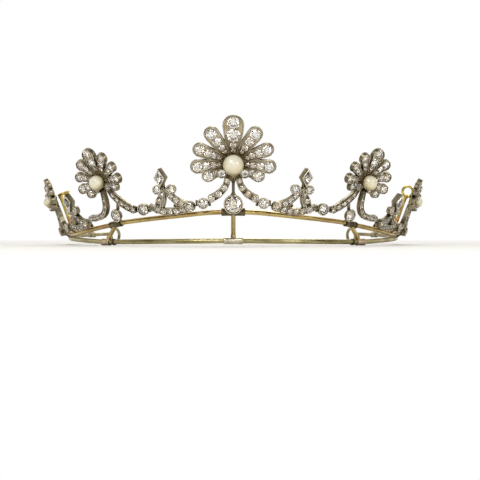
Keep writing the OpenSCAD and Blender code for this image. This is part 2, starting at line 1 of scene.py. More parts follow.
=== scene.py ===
"""Looks of the tiara: wires, silver settings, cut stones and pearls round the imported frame.

Shapes are in millimetres until Shape.make turns them into metres. Materials, floor, lights and camera are
in metres. A place on the ornament is given by a, the turn of the band seen from above, and v, the distance
up the leaning surface.
"""
import math
import random

import bpy
from mathutils import Matrix, Vector
from mathutils.geometry import tessellate_polygon


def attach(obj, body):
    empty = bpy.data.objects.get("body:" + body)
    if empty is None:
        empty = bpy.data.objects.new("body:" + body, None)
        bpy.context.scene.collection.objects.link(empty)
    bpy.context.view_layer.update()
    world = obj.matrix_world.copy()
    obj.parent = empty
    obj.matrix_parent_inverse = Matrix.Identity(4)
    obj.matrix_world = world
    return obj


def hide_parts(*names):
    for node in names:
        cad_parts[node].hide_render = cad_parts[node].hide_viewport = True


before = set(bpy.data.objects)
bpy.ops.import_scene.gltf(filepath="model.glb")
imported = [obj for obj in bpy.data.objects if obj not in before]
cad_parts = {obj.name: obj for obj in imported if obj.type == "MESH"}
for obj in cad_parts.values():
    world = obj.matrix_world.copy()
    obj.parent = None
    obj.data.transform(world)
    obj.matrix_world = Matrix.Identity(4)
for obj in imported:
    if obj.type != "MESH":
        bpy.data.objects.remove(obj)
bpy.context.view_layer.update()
rng = random.Random(7)

# Band in plan: three arcs that touch, as in the solids
FRONT_R, FRONT_A = 64, 49
SIDE_R, SIDE_A = 102, 93
BACK_R, BACK_A = 87, 123
BOX_MID_Y = 63.115

# Heights and thicknesses of the wires
WIRE_R = 1.0
ARM_R = 0.8
SLEEVE_R = 1.45
SLEEVE_Z = 1.45
LOW_SLEEVE_A = 53
STRUT_FOOT_A = 52
STRUT_R = 0.9
LOW_FRONT_Z = 2.1
UPPER_FRONT_Z = 13.6
FOOT_STRUT_Z = 8.65
FOOT_SLOPE = 0.122
EYE_R = 3.9
EYE_BORE_R = 2.7
EYE_T = 1.3
ARM_END_Z = EYE_R + 0.7
MERGE_A, MERGE_END_A = 72, 81
SIDE_BY_SIDE = 2.15
WIRE_TUCK = 1

# Lean of the ornament in degrees: at the front, its growth with the turn, and the turn where that ends
LEAN, LEAN_GROWTH, LEAN_END_A = 15.7, 0.06, 80

# Silver plates and what stands on them
PLATE_T = 1.9
PLATE_N = 1.2
RIM = 0.5
COLLET_RISE, COLLET_TAPER = 0.5, 0.82
STONE_SINK = 0.1
CUP = 10
STRIP_RIM = 0.3
PEARL_D, PEARL_SINK = 8.3, 0.3
LEAST_STONE = 1.45
GRAIN_Z = PLATE_T - 0.1


def direction(a):
    return Vector((math.sin(math.radians(a)), -math.cos(math.radians(a)), 0))


FRONT_C = Vector((0, FRONT_R - BOX_MID_Y, 0))
SIDE_C = FRONT_C + (FRONT_R - SIDE_R) * direction(FRONT_A)
BACK_C = SIDE_C + (SIDE_R - BACK_R) * direction(SIDE_A)


def plan(a):
    if a < FRONT_A:
        return FRONT_C + FRONT_R * direction(a)
    if a < SIDE_A:
        return SIDE_C + SIDE_R * direction(a)
    return BACK_C + BACK_R * direction(a)


def run(a):
    front = min(a, FRONT_A) * FRONT_R
    side = max(0, min(a, SIDE_A) - FRONT_A) * SIDE_R
    back = max(0, a - SIDE_A) * BACK_R
    return math.radians(front + side + back)


def low_z(a):
    if a < LOW_SLEEVE_A:
        return LOW_FRONT_Z + (SLEEVE_Z - LOW_FRONT_Z) * run(a) / run(LOW_SLEEVE_A)
    along = (run(a) - run(LOW_SLEEVE_A)) / (run(BACK_A) - run(LOW_SLEEVE_A))
    return SLEEVE_Z + (ARM_END_Z - SLEEVE_Z) * along


# Upper wire as rows of turn and height, and the turns over which its bends are rounded
UPPER = [
    (0, UPPER_FRONT_Z), (8, 13.45), (26, 11.5), (46.5, 9.4), (49, 8.85), (60, 6.6),
    (MERGE_A, low_z(MERGE_A) + SIDE_BY_SIDE), (MERGE_END_A, low_z(MERGE_END_A) + SIDE_BY_SIDE)]
ROUNDING = (-3, -1.5, 0, 1.5, 3)


def between(table, x):
    """Value at x in rows of x and value, straight in between."""
    for (x1, y1), (x2, y2) in zip(table, table[1:]):
        if x <= x2:
            return y1 + (y2 - y1) * (x - x1) / (x2 - x1)
    return table[-1][1]


def upper_z(a):
    """Height of the upper wire, with the bends of the solids rounded over."""
    samples = [between(UPPER, min(abs(a + shift), MERGE_END_A)) for shift in ROUNDING]
    return sum(samples) / len(samples)


def depth(a):
    return plan(a).y + BOX_MID_Y


def foot_z(a):
    y, strut = depth(a), depth(FRONT_A)
    if y < strut:
        return UPPER_FRONT_Z - (UPPER_FRONT_Z - FOOT_STRUT_Z) * y / strut
    return max(FOOT_STRUT_Z - FOOT_SLOPE * (y - strut), low_z(a))


def lean(a):
    return LEAN + LEAN_GROWTH * min(a, LEAN_END_A)


def turn_x(angle):
    return Matrix.Rotation(math.radians(angle), 4, "X")


def turn_y(angle):
    return Matrix.Rotation(math.radians(angle), 4, "Y")


def turn_z(angle):
    return Matrix.Rotation(math.radians(angle), 4, "Z")


def move(x, y, z=0):
    return Matrix.Translation((x, y, z))


def spot(a, v, n):
    """X along the band, Y up the leaning surface and Z outward."""
    p = plan(a)
    return move(p.x, p.y, foot_z(a)) @ turn_z(a) @ turn_x(90 + lean(a)) @ move(0, v, n)


SIDES = (("left", -1), ("right", 1))


def half(side):
    return Matrix.Scale(-1, 4, (1, 0, 0)) if side == "left" else Matrix()


# Flowers on the right half: where their hubs are, and their sizes against the centre one
CENTRE_PLACE = spot(0, 20.8, PLATE_N)
SIDE_K, SIDE_FLOWER_A, SIDE_FLOWER_V, SIDE_TURN, SIDE_YAW = 0.74, 47.8, 19.5, -9, -8
SIDE_PLACE = spot(SIDE_FLOWER_A, SIDE_FLOWER_V, PLATE_N) @ turn_y(SIDE_YAW) @ turn_z(SIDE_TURN)
OUTER_K, OUTER_A, OUTER_V, OUTER_TURN, OUTER_PITCH = 0.52, 76, 17.4, -6, -9
OUTER_PLACE = spot(OUTER_A, OUTER_V, PLATE_N) @ turn_x(OUTER_PITCH) @ turn_z(OUTER_TURN)
FLOWERS = [(CENTRE_PLACE, 1), (SIDE_PLACE, SIDE_K), (OUTER_PLACE, OUTER_K)]


def new_object(name, data):
    made = bpy.data.objects.new(name, data)
    bpy.context.scene.collection.objects.link(made)
    return made


class Shape:
    """Faces gathered in millimetres, which become one object."""

    def __init__(self, place=Matrix()):
        self.place = place
        self.points = []
        self.faces = []
        self.looks = []

    def add(self, part, place=Matrix(), look=0):
        points, faces, *own_looks = part
        whole = self.place @ place
        first = len(self.points)
        self.points += [whole @ Vector(p) for p in points]
        turned = whole.determinant() < 0
        for f in faces:
            corners = [first + i for i in f]
            self.faces.append(corners[::-1] if turned else corners)
        self.looks += own_looks[0] if own_looks else [look] * len(faces)

    def make(self, name, looks, slot, nodes, smooth_angle=38):
        mesh = bpy.data.meshes.new(name)
        mesh.from_pydata([p * 0.001 for p in self.points], [], self.faces)
        for look in looks:
            mesh.materials.append(look)
        mesh.polygons.foreach_set("material_index", self.looks)
        if smooth_angle:
            mesh.polygons.foreach_set("use_smooth", [True] * len(self.faces))
            mesh.set_sharp_from_angle(angle=math.radians(smooth_angle))
        mesh.update()
        obj = new_object(name, mesh)
        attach(obj, "root")
        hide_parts(*nodes)


# Looks of a silver piece: dull floors, bright edges that are worn and partly a painted highlight, gold
# backs, foil, dark walls, and pale floors on the petals. Looks of a field of stones: 0 on the petals, and
# two more over a hub and in the strips
DULL, BRIGHT, BACK, FOIL, DARK, PALE = range(6)
HUB, STRIP = 1, 2


# Simple forms

def circle(r, count, x=0, y=0):
    turns = [math.tau * i / count for i in range(count)]
    return [(x + r * math.cos(t), y + r * math.sin(t)) for t in turns]


def walls(rows, count, closed=False):
    """Faces of four corners between rows of count points each."""
    faces = []
    for k in range(rows if closed else rows - 1):
        here, there = k * count, (k + 1) % rows * count
        for i in range(count):
            j = (i + 1) % count
            faces.append((here + i, here + j, there + j, there + i))
    return faces


def lathe(profile, count, closed=False):
    """Rows of radius and height turned round Z."""
    points = [(r * c, r * s, z) for c, s in circle(1, count) for r, z in profile]
    rows = len(profile)
    faces = []
    for i in range(count):
        here, there = i * rows, (i + 1) % count * rows
        for j in range(rows if closed else rows - 1):
            k = (j + 1) % rows
            faces.append((here + j, there + j, there + k, here + k))
    if not closed:
        faces.append([i * rows for i in range(count)][::-1])
        faces.append([i * rows + rows - 1 for i in range(count)])
    return points, faces


def bead(r):
    """Small round grain of metal."""
    return lathe([(r * math.cos(t), r * math.sin(t)) for t in (-1.2, -0.5, 0.2, 0.85, 1.35)], 8)


BALL_SIDES = 48


def ball(r):
    """Round ball, cut off by a hair at its poles."""
    steps = BALL_SIDES // 2
    profile = []
    for j in range(steps + 1):
        t = math.pi * (j / steps - 0.5) * 0.998
        profile.append((r * math.cos(t), r * math.sin(t)))
    return lathe(profile, BALL_SIDES)


def tube(path, radius, count=20):
    """Round tube along points, with radius(share of its length)."""
    points = []
    last = len(path) - 1
    first_way = (path[1] - path[0]).normalized()
    normal = Vector((0, 0, 1)) if abs(first_way.z) < 0.9 else Vector((0, 1, 0))
    for i, p in enumerate(path):
        ahead = (path[min(i + 1, last)] - path[max(i - 1, 0)]).normalized()
        normal = (normal - ahead * normal.dot(ahead)).normalized()
        across = ahead.cross(normal)
        r = radius(i / last)
        points += [p + r * (c * normal + s * across) for c, s in circle(1, count)]
    faces = walls(len(path), count)
    faces.append(list(range(count)))
    faces.append([last * count + j for j in range(count)][::-1])
    return points, [f[::-1] for f in faces]


def rod(start, end, r, sides=12, steps=6, form=lambda t: 1):
    """Straight round bar, whose radius is r times form(share of its length)."""
    start, way = Vector(start), Vector(end) - Vector(start)
    path = [start + way * i / steps for i in range(steps + 1)]
    return tube(path, lambda t: r * form(t), sides)


# Distance between the points of a path, and steps of the round end of a plate
PATH_STEP = 0.3
END_STEPS = 10


def smooth_path(points):
    """Even points on a smooth curve through the given ones, and how far along each given one is."""
    points = [Vector((p[0], p[1], 0)) for p in points]
    ends = [2 * points[0] - points[1]] + points + [2 * points[-1] - points[-2]]
    path = [points[0]]
    stations = [0.0]
    length = 0.0
    for i in range(len(points) - 1):
        p0, p1, p2, p3 = ends[i:i + 4]
        count = max(2, round((p2 - p1).length / PATH_STEP))
        for k in range(1, count + 1):
            t = k / count
            q = 0.5 * (2 * p1 + (p2 - p0) * t + (2 * p0 - 5 * p1 + 4 * p2 - p3) * t * t
                       + (3 * p1 - p0 - 3 * p2 + p3) * t ** 3)
            length += (q - path[-1]).length
            path.append(q)
        stations.append(length)
    return path, stations


def border(path, widths, inset):
    """Closed outline at a half width on each side of a path, with round ends."""
    last = len(path) - 1
    left, right = [], []
    for i, p in enumerate(path):
        ahead = (path[min(i + 1, last)] - path[max(i - 1, 0)]).normalized()
        side = Vector((-ahead.y, ahead.x, 0))
        w = widths[i] - inset
        left.append(p + side * w)
        right.append(p - side * w)
    ends = []
    for centre, start in ((path[0], left[0]), (path[-1], right[-1])):
        arm = start - centre
        ends.append([centre + turn_z(180 * k / END_STEPS) @ arm for k in range(1, END_STEPS)])
    return right + ends[1] + left[::-1] + ends[0]


# Side of a plate as rows of inset and height, and the look between each two rows
RIM_STEPS = [
    (0.22, 0), (0, 0.25), (0.17, PLATE_T - 0.05), (0.25, PLATE_T + 0.2), (0.4, PLATE_T + 0.2),
    (0.46, PLATE_T - 0.15)]
PLATE_LOOKS = [BACK, DARK, DARK, BRIGHT, DULL]
HOLE_SIDES = 20


def plate(path, widths, holes, lift=0.0, floor_look=DULL):
    """Pierced plate with a raised rim: holes are rows of x, y and radius."""
    rings = [border(path, widths, inset) for inset, _ in RIM_STEPS]
    count = len(rings[0])
    points = []
    for ring, (_, z) in zip(rings, RIM_STEPS):
        points += [(p.x, p.y, z + lift) for p in ring]
    faces = walls(len(rings), count)
    looks = [look for look in PLATE_LOOKS for _ in range(count)]
    floor = RIM_STEPS[-1][1] + lift
    first = len(points)
    for h, (x, y, r) in enumerate(holes):
        ring = circle(r, HOLE_SIDES, x, y)
        points += [(*p, floor) for p in ring] + [(*p, lift) for p in ring]
        top = first + 2 * h * HOLE_SIDES
        under = top + HOLE_SIDES
        for i in range(HOLE_SIDES):
            j = (i + 1) % HOLE_SIDES
            faces.append((top + i, top + j, under + j, under + i))
    looks += [DULL] * (len(faces) - len(looks))
    for level, base in ((1, (len(RIM_STEPS) - 1) * count), (0, 0)):
        loops = [list(range(base, base + count))]
        for h in range(len(holes)):
            start = first + (2 * h + 1 - level) * HOLE_SIDES
            loops.append(list(range(start, start + HOLE_SIDES)))
        flat = [i for loop in loops for i in loop]
        shapes = [[Vector((points[i][0], points[i][1], 0)) for i in loop] for loop in loops]
        for tri in tessellate_polygon(shapes):
            a, b, c = (flat[i] for i in tri)
            up = (Vector(points[b]) - Vector(points[a])).cross(Vector(points[c]) - Vector(points[a])).z > 0
            faces.append((a, b, c) if up == bool(level) else (a, c, b))
            looks.append(floor_look if level else BACK)
    return points, faces, looks


def brilliant(d):
    """Old brilliant cut: table, stars, kites, girdle facets, pavilion and a small flat culet."""

    def ring(r, z, turn, count=8):
        angles = [math.radians(360 * i / count + turn) for i in range(count)]
        return [(r * d * math.cos(t), r * d * math.sin(t), z * d) for t in angles]

    table = ring(0.27, 0.16, 0)
    mid = ring(0.405, 0.092, 22.5)
    girdle = ring(0.5, 0, 0, 16)
    under = ring(0.5, -0.035, 0, 16)
    low = ring(0.26, -0.25, 22.5)
    culet = ring(0.045, -0.43, 0)
    points = table + mid + girdle + under + low + culet
    # The first point of each ring
    t, m, g, u, w, c = 0, 8, 16, 32, 48, 56
    faces = [tuple(range(8)), tuple(range(c + 7, c - 1, -1))]
    for i in range(8):
        j = (i + 1) % 8
        h = (i - 1) % 8
        a, b, e = 2 * i, 2 * i + 1, (2 * i + 2) % 16
        faces.append((t + i, m + i, t + j))
        faces.append((t + i, m + h, g + a, m + i))
        faces.append((m + i, g + a, g + b))
        faces.append((m + i, g + b, g + e))
        faces.append((g + a, u + a, u + b, g + b))
        faces.append((g + b, u + b, u + e, g + e))
        faces.append((u + a, w + i, u + b))
        faces.append((u + b, w + i, u + e))
        faces.append((u + a, w + h, c + i, w + i))
        faces.append((w + i, c + i, c + j))
    return points, faces


def collet(d, height):
    """Round setting: tapered wall, thin rim and the ledge under the stone."""
    r = d / 2
    out = r + RIM
    profile = [
        (out * COLLET_TAPER, 0), (out - 0.08, height * 0.45), (out, height - 0.35), (out, height - 0.05),
        (out - 0.12, height + 0.12), (r + 0.12, height + 0.1), (r - 0.02, height - 0.12),
        (r * 0.86, height - 0.4), (r * 0.72, 0)]
    sides = 32
    looks = [DARK] * 3 + [BRIGHT] * 2 + [DULL] * (len(profile) - 5)
    return (*lathe(profile, sides, closed=True), looks * sides)


def grains(shape, place, x, y, d, height, count, size):
    """Grains of silver pressed over a stone's edge."""
    shift = rng.uniform(0, math.tau)
    for i in range(count):
        t = shift + math.tau * i / count
        reach = d / 2 + size * 0.25
        at = move(x + reach * math.cos(t), y + reach * math.sin(t), height + size * 0.3)
        shape.add(bead(size * rng.uniform(0.9, 1.15)), place @ at, BRIGHT)


def put_stone(shape, place, x, y, z, d, flat=1.0, look=0):
    """A stone, each turned and tipped a little in its own way; flat makes it shallower."""
    tip = turn_x(rng.uniform(-2.5, 2.5)) @ turn_y(rng.uniform(-2.5, 2.5))
    grow = Matrix.Diagonal((rng.uniform(0.97, 1.0), rng.uniform(0.97, 1.0), flat, 1))
    shape.add(brilliant(d), place @ move(x, y, z) @ tip @ turn_z(rng.uniform(0, 45)) @ grow, look)


# Materials

def new_material(name):
    look = bpy.data.materials.new(name)
    look.use_nodes = True
    tree = look.node_tree
    return look, tree, tree.nodes["Principled BSDF"]


def feed(tree, made, inputs):
    """Gives a node's inputs their values, which are sockets to link or plain values."""
    for key, value in inputs.items():
        if isinstance(value, bpy.types.NodeSocket):
            tree.links.new(value, made.inputs[key])
        else:
            made.inputs[key].default_value = value


def node(tree, kind, inputs=None, **settings):
    made = tree.nodes.new(kind)
    for key, value in settings.items():
        setattr(made, key, value)
    feed(tree, made, inputs or {})
    return made


NUMBERS, VECTORS = "ShaderNodeMath", "ShaderNodeVectorMath"


def maths(tree, kind, operation, *values, out=0):
    """Output of a maths node with its inputs in their order."""
    return node(tree, kind, dict(enumerate(values)), operation=operation).outputs[out]


def noise(tree, scale, detail=3):
    where = node(tree, "ShaderNodeTexCoord").outputs["Object"]
    inputs = {"Vector": where, "Scale": scale, "Detail": detail}
    return node(tree, "ShaderNodeTexNoise", inputs).outputs["Fac"]


def ramp(tree, factor, stops):
    made = node(tree, "ShaderNodeValToRGB", {"Fac": factor})
    elements = made.color_ramp.elements
    while len(elements) < len(stops):
        elements.new(0.5)
    for element, (place, colour) in zip(elements, stops):
        element.position = place
        element.color = (*colour, 1)
    return made.outputs["Color"]


def spread(tree, factor, low, high, start=0.3, end=0.7):
    """Goes from low to high while the factor goes from start to end."""
    inputs = {"Value": factor, "From Min": start, "From Max": end, "To Min": low, "To Max": high}
    return node(tree, "ShaderNodeMapRange", inputs).outputs["Result"]


def mix(tree, factor, one, two, blend="MIX"):
    one, two = [(*colour, 1) if isinstance(colour, tuple) else colour for colour in (one, two)]
    inputs = {0: factor, 6: one, 7: two}
    return node(tree, "ShaderNodeMix", inputs, data_type="RGBA", blend_type=blend).outputs[2]


def bump(tree, shader, height, distance):
    made = node(tree, "ShaderNodeBump", {"Height": height, "Distance": distance})
    feed(tree, shader, {"Normal": made.outputs["Normal"]})


def hollow(tree, low, high):
    """1 in the open and 0 deep between parts: the mask of the tarnish and painted shade in the hollows."""
    made = node(tree, "ShaderNodeAmbientOcclusion", {"Distance": HOLLOW_REACH}, samples=8)
    return spread(tree, made.outputs["AO"], 0, 1, low, high)


# How far the painted shade round the centre flower's hub is full, and where it ends
HUB_DARK, HUB_DARK_END = 0.0055, 0.0125
HOLLOW_REACH = 0.0014
WORN_SPREAD = 0.22


def hub_shade_mask(tree):
    """Mask of the painted shade round the hubs: 0 at a flower's hub and 1 from the middle of its petals; the
    left half is folded onto the right.
    """
    where = node(tree, "ShaderNodeTexCoord").outputs["Object"]
    parts = node(tree, "ShaderNodeSeparateXYZ", {"Vector": where}).outputs
    across = maths(tree, NUMBERS, "ABSOLUTE", parts["X"])
    folded = node(tree, "ShaderNodeCombineXYZ", {"X": across, "Y": parts["Y"], "Z": parts["Z"]})
    least = None
    for place, k in FLOWERS:
        hub = place @ Vector((0, 0, PLATE_T)) * 0.001
        away = maths(tree, VECTORS, "DISTANCE", folded.outputs["Vector"], hub, out=1)
        share = spread(tree, away, 0, 1, HUB_DARK * k, HUB_DARK_END * k)
        least = maths(tree, NUMBERS, "MINIMUM", least, share) if least else share
    return least


def metal(name, light, deep, hollow_tarnish_and_shade, rough, patch=260, hollows=(0.25, 0.75), root=None):
    """Worn metal: two tones in patches, dark in the hollows from tarnish and painted shade, with fine dents;
    root is its painted shade tone round a flower's hub.
    """
    look, tree, shader = new_material(name)
    tones = ramp(tree, noise(tree, patch, 4), [(0.38, deep), (0.62, light)])
    # Tarnish and painted shade darken the hollows
    colour = mix(tree, hollow(tree, *hollows), hollow_tarnish_and_shade, tones)
    # Painted shade round the flowers' hubs
    if root:
        colour = mix(tree, hub_shade_mask(tree), root, colour)
    worn = spread(tree, noise(tree, patch * 3), rough, rough + WORN_SPREAD)
    feed(tree, shader, {"Base Color": colour, "Metallic": 1, "Roughness": worn})
    bump(tree, shader, noise(tree, 1500, 3), 0.00003)
    return look


DIAMOND_IOR = 2.42


def stone_look(name, tints, root=None):
    """Cut stone in three tints from brown to white; root is the painted shade tint it takes round a hub."""
    look, tree, shader = new_material(name)
    tint = ramp(tree, noise(tree, 220, 1), list(zip((0.35, 0.5, 0.65), tints)))
    # Painted shade on the stones round the hubs
    if root:
        tint = mix(tree, hub_shade_mask(tree), root, tint)
    feed(tree, shader, {"Base Color": tint, "Transmission Weight": 1, "IOR": DIAMOND_IOR, "Roughness": 0.02})
    return look


# Turns the pearl's painted light from straight out of the band towards the front and up
TO_FRONT_AND_UP = (0, -1.1, 0.9)


def pearl_look(name):
    """Painted light and shade: cream where the pearl faces up and out to the front, khaki at its edges."""
    look, tree, shader = new_material(name)
    where = node(tree, "ShaderNodeTexCoord")
    outward = maths(tree, VECTORS, "MULTIPLY", where.outputs["Object"], (1, 1, 0))
    unit = maths(tree, VECTORS, "NORMALIZE", outward)
    turned = maths(tree, VECTORS, "ADD", unit, TO_FRONT_AND_UP)
    way = maths(tree, VECTORS, "NORMALIZE", turned)
    painted_light_share = maths(tree, VECTORS, "DOT_PRODUCT", way, where.outputs["Normal"], out=1)
    share = spread(tree, painted_light_share, 0, 1, -0.09, 0.96)
    # Painted light and shade: cream on the lit side, khaki at the edges
    tones = ramp(tree, share, [
        (0.1, (0.42, 0.34, 0.15)), (0.45, (0.78, 0.70, 0.46)),
        (0.8, (0.91, 0.85, 0.64)), (1.0, (0.91, 0.87, 0.71))])
    cloud = ramp(tree, noise(tree, 160, 2), [(0.35, (0.88, 0.86, 0.78)), (0.65, (1.0, 1.0, 1.0))])
    colour = mix(tree, 1, tones, cloud, "MULTIPLY")
    worn = spread(tree, noise(tree, 900), 0.2, 0.3)
    feed(tree, shader, {"Base Color": colour, "Roughness": worn, "Coat Weight": 1, "Coat Roughness": 0.17})
    bump(tree, shader, noise(tree, 700, 2), 0.00001)
    return look


def foil_look(name):
    """Pale foil under the stones that have no open back."""
    look, tree, shader = new_material(name)
    tones = ramp(tree, noise(tree, 600, 2), [(0.35, (0.72, 0.70, 0.64)), (0.65, (0.92, 0.91, 0.88))])
    feed(tree, shader, {"Base Color": tones, "Metallic": 0.3, "Roughness": 0.45})
    return look


# Painted shade round the flowers' hubs, where the pearl and the cupped petals would cast shadow
HUB_SHADE_TONE = (0.07, 0.05, 0.025)
silver = metal(
    "silver", (0.38, 0.33, 0.235), (0.20, 0.155, 0.085), (0.045, 0.033, 0.016), 0.3, hollows=(0.42, 0.95),
    root=HUB_SHADE_TONE)
pale_silver = metal(
    "pale_silver", (0.70, 0.63, 0.48), (0.47, 0.39, 0.24), (0.08, 0.06, 0.03), 0.3, hollows=(0.35, 0.92),
    root=HUB_SHADE_TONE)
# Bright edges: polished by wear, and partly a painted highlight
bright_silver = metal(
    "bright_silver", (0.92, 0.86, 0.72), (0.66, 0.57, 0.40), (0.07, 0.055, 0.03), 0.34,
    root=(0.34, 0.27, 0.15))
gold_back = metal("gold_back", (0.62, 0.50, 0.26), (0.40, 0.30, 0.14), (0.06, 0.04, 0.015), 0.3, 200)
dark_silver = metal("dark_silver", (0.38, 0.335, 0.235), (0.19, 0.16, 0.10), (0.03, 0.023, 0.012), 0.3, 300)
foil = foil_look("foil")
upper_gold = metal("upper_gold", (0.68, 0.54, 0.22), (0.44, 0.29, 0.11), (0.10, 0.06, 0.02), 0.22, 90)
lower_gold = metal("lower_gold", (0.52, 0.47, 0.25), (0.33, 0.28, 0.12), (0.09, 0.07, 0.025), 0.24, 90)
strut_gold = metal("strut_gold", (0.60, 0.47, 0.21), (0.36, 0.26, 0.10), (0.06, 0.04, 0.015), 0.26, 150)
arm_gold = metal("arm_gold", (0.44, 0.38, 0.22), (0.25, 0.21, 0.11), (0.06, 0.045, 0.02), 0.28, 150)
post_gold = metal("post_gold", (0.80, 0.65, 0.18), (0.56, 0.40, 0.08), (0.14, 0.09, 0.01), 0.2, 200)
red_gold = metal("red_gold", (0.82, 0.46, 0.12), (0.60, 0.28, 0.06), (0.16, 0.07, 0.01), 0.22, 200)
gunmetal = metal("gunmetal", (0.19, 0.16, 0.09), (0.08, 0.065, 0.037), (0.03, 0.022, 0.012), 0.25, 300)
rose_sleeve = metal("rose_sleeve", (0.66, 0.56, 0.38), (0.50, 0.38, 0.24), (0.08, 0.055, 0.025), 0.26, 200)
pale_sleeve = metal("pale_sleeve", (0.74, 0.68, 0.52), (0.55, 0.47, 0.31), (0.1, 0.08, 0.04), 0.24, 300)
CLEAR_TINTS = [(1.0, 0.87, 0.68), (1.0, 0.95, 0.87), (0.98, 0.98, 0.95)]
# The stones take painted shade round the hubs
diamond = stone_look("diamond", CLEAR_TINTS, (0.40, 0.32, 0.21))
hub_diamond = stone_look("hub_diamond", CLEAR_TINTS)
strip_diamond = stone_look("strip_diamond", [(0.74, 0.60, 0.40), (0.80, 0.71, 0.56), (0.87, 0.83, 0.74)])
pearl = pearl_look("pearl")
SILVER_LOOKS = [silver, bright_silver, gold_back, foil, dark_silver, pale_silver]
STONE_LOOKS = [diamond, hub_diamond, strip_diamond]


# Wires with their sleeves and struts. A sleeve is a row of turn, length and radius
UPPER_CENTRE_SLEEVE = (0, 9.5, 1.6)
UPPER_SIDE_SLEEVE = (FRONT_A, 7.4, SLEEVE_R)
UPPER_SIDE_SLOPE = 7.5
LOW_CENTRE_SLEEVE = (0, 7.6, 1.4)
LOW_SIDE_SLEEVE = (LOW_SLEEVE_A, 6, SLEEVE_R)
DARK_COLLAR = (LOW_SLEEVE_A - 3.2, 1.2, SLEEVE_R - 0.12)
ARM_COLLAR = (SIDE_A + 1.05, 1.6, 1.2)
ARM_SLEEVE = (112, 5, 1.25)
ARM_START_A = SIDE_A + 0.7
WIRE_END = 0.012


def along(a, z):
    """Point on the band, also for a negative turn, which is the left side."""
    p = plan(abs(a))
    return Vector((math.copysign(p.x, a) if a else 0, p.y, z))


def sleeve(shape, row, z, side="right", slope=0, look=0):
    """Short tube over a wire, with a worn edge and a small step at each end."""
    a, length, r = row
    e = length / 2
    profile = [
        (r * 0.72, -e), (r * 0.9, -e), (r, -e + 0.18), (r, -e + 0.7), (r * 0.97, -e + 0.85),
        (r * 0.97, e - 0.85), (r, e - 0.7), (r, e - 0.18), (r * 0.9, e), (r * 0.72, e)]
    p = plan(a)
    place = half(side) @ move(p.x, p.y, z) @ turn_z(a) @ turn_y(90 + slope)
    shape.add(lathe(profile, 32), place, look)


def soldered(t):
    """Form of a strut, wider with solder at its ends."""
    return 1 + 0.22 * max(0, abs(2 * t - 1) - 0.72) / 0.28


def strut(shape, top, foot, look):
    shape.add(rod(top, foot, STRUT_R, 20, 14, soldered), look=look)


def wavy(base, amount, seed):
    """Radius of a hand-drawn wire."""
    return lambda t: base * (1 + amount * math.sin(37 * t + seed) * math.sin(13.7 * t + 2 * seed))


def make_upper_wire():
    shape = Shape()
    turns = [MERGE_END_A * (i / 150 - 1) for i in range(301)]
    width = wavy(WIRE_R, 0.025, 1.0)

    def radius(t):
        """Waves of the wire, rounded off at both ends."""
        end = min(t, 1 - t) / WIRE_END
        return width(t) * (0.35 + 0.65 * math.sqrt(min(1, end)))

    shape.add(tube([along(a, upper_z(a)) for a in turns], radius))
    sleeve(shape, UPPER_CENTRE_SLEEVE, UPPER_FRONT_Z, look=1)
    strut(shape, along(0, UPPER_FRONT_Z), along(0, LOW_FRONT_Z + LOW_CENTRE_SLEEVE[2]), look=2)
    side_z = between(UPPER, FRONT_A)
    for side, sign in SIDES:
        sleeve(shape, UPPER_SIDE_SLEEVE, side_z, side, UPPER_SIDE_SLOPE, look=1)
        foot = along(sign * STRUT_FOOT_A, 2 * SLEEVE_Z + 0.1)
        strut(shape, along(sign * FRONT_A, side_z), foot, look=2)
    shape.make("upper_wire_detail", [upper_gold, gunmetal, strut_gold], "antique_gold", ["upper_wire"])


def ribbon_eye(shape, side):
    end = plan(BACK_A)
    outward = half(side) @ move(end.x, end.y, EYE_R) @ turn_z(BACK_A) @ move(EYE_R - 0.3, 0, 0) @ turn_x(90)
    mid = EYE_R - EYE_T / 2
    profile = [(EYE_BORE_R, 0.5), (EYE_BORE_R, -0.5)]
    for k in range(11):
        t = math.radians(-130 + 26 * k)
        profile.append((mid + EYE_T / 2 * math.cos(t), EYE_T / 2 * math.sin(t)))
    shape.add(lathe(profile, 48, closed=True), outward)


def make_lower_wire():
    shape = Shape()
    turns = [(SIDE_A + WIRE_TUCK) * (i / 150 - 1) for i in range(301)]
    path = [along(a, low_z(abs(a))) for a in turns]
    shape.add(tube(path, wavy(WIRE_R, 0.02, 2.0)))
    sleeve(shape, LOW_CENTRE_SLEEVE, LOW_FRONT_Z, look=1)
    for side, _ in SIDES:
        sleeve(shape, LOW_SIDE_SLEEVE, SLEEVE_Z, side, look=2)
        sleeve(shape, DARK_COLLAR, SLEEVE_Z, side, look=3)
    looks = [lower_gold, pale_sleeve, rose_sleeve, gunmetal]
    shape.make("lower_wire_detail", looks, "pale_gold", ["lower_wire"])


def make_arm_wire(side, sign):
    """Thinner wire behind the lower one, with a collar over the joint, a sleeve and the ribbon eye."""
    shape = Shape()
    turns = [ARM_START_A + (BACK_A - ARM_START_A) * i / 60 for i in range(61)]
    shape.add(tube([along(sign * a, low_z(a)) for a in turns], wavy(ARM_R, 0.03, 3.0)))
    sleeve(shape, ARM_COLLAR, low_z(SIDE_A), side)
    sleeve(shape, ARM_SLEEVE, low_z(ARM_SLEEVE[0]), side)
    ribbon_eye(shape, side)
    shape.make("arm_" + side + "_detail", [arm_gold], "antique_gold", ["arm_" + side])


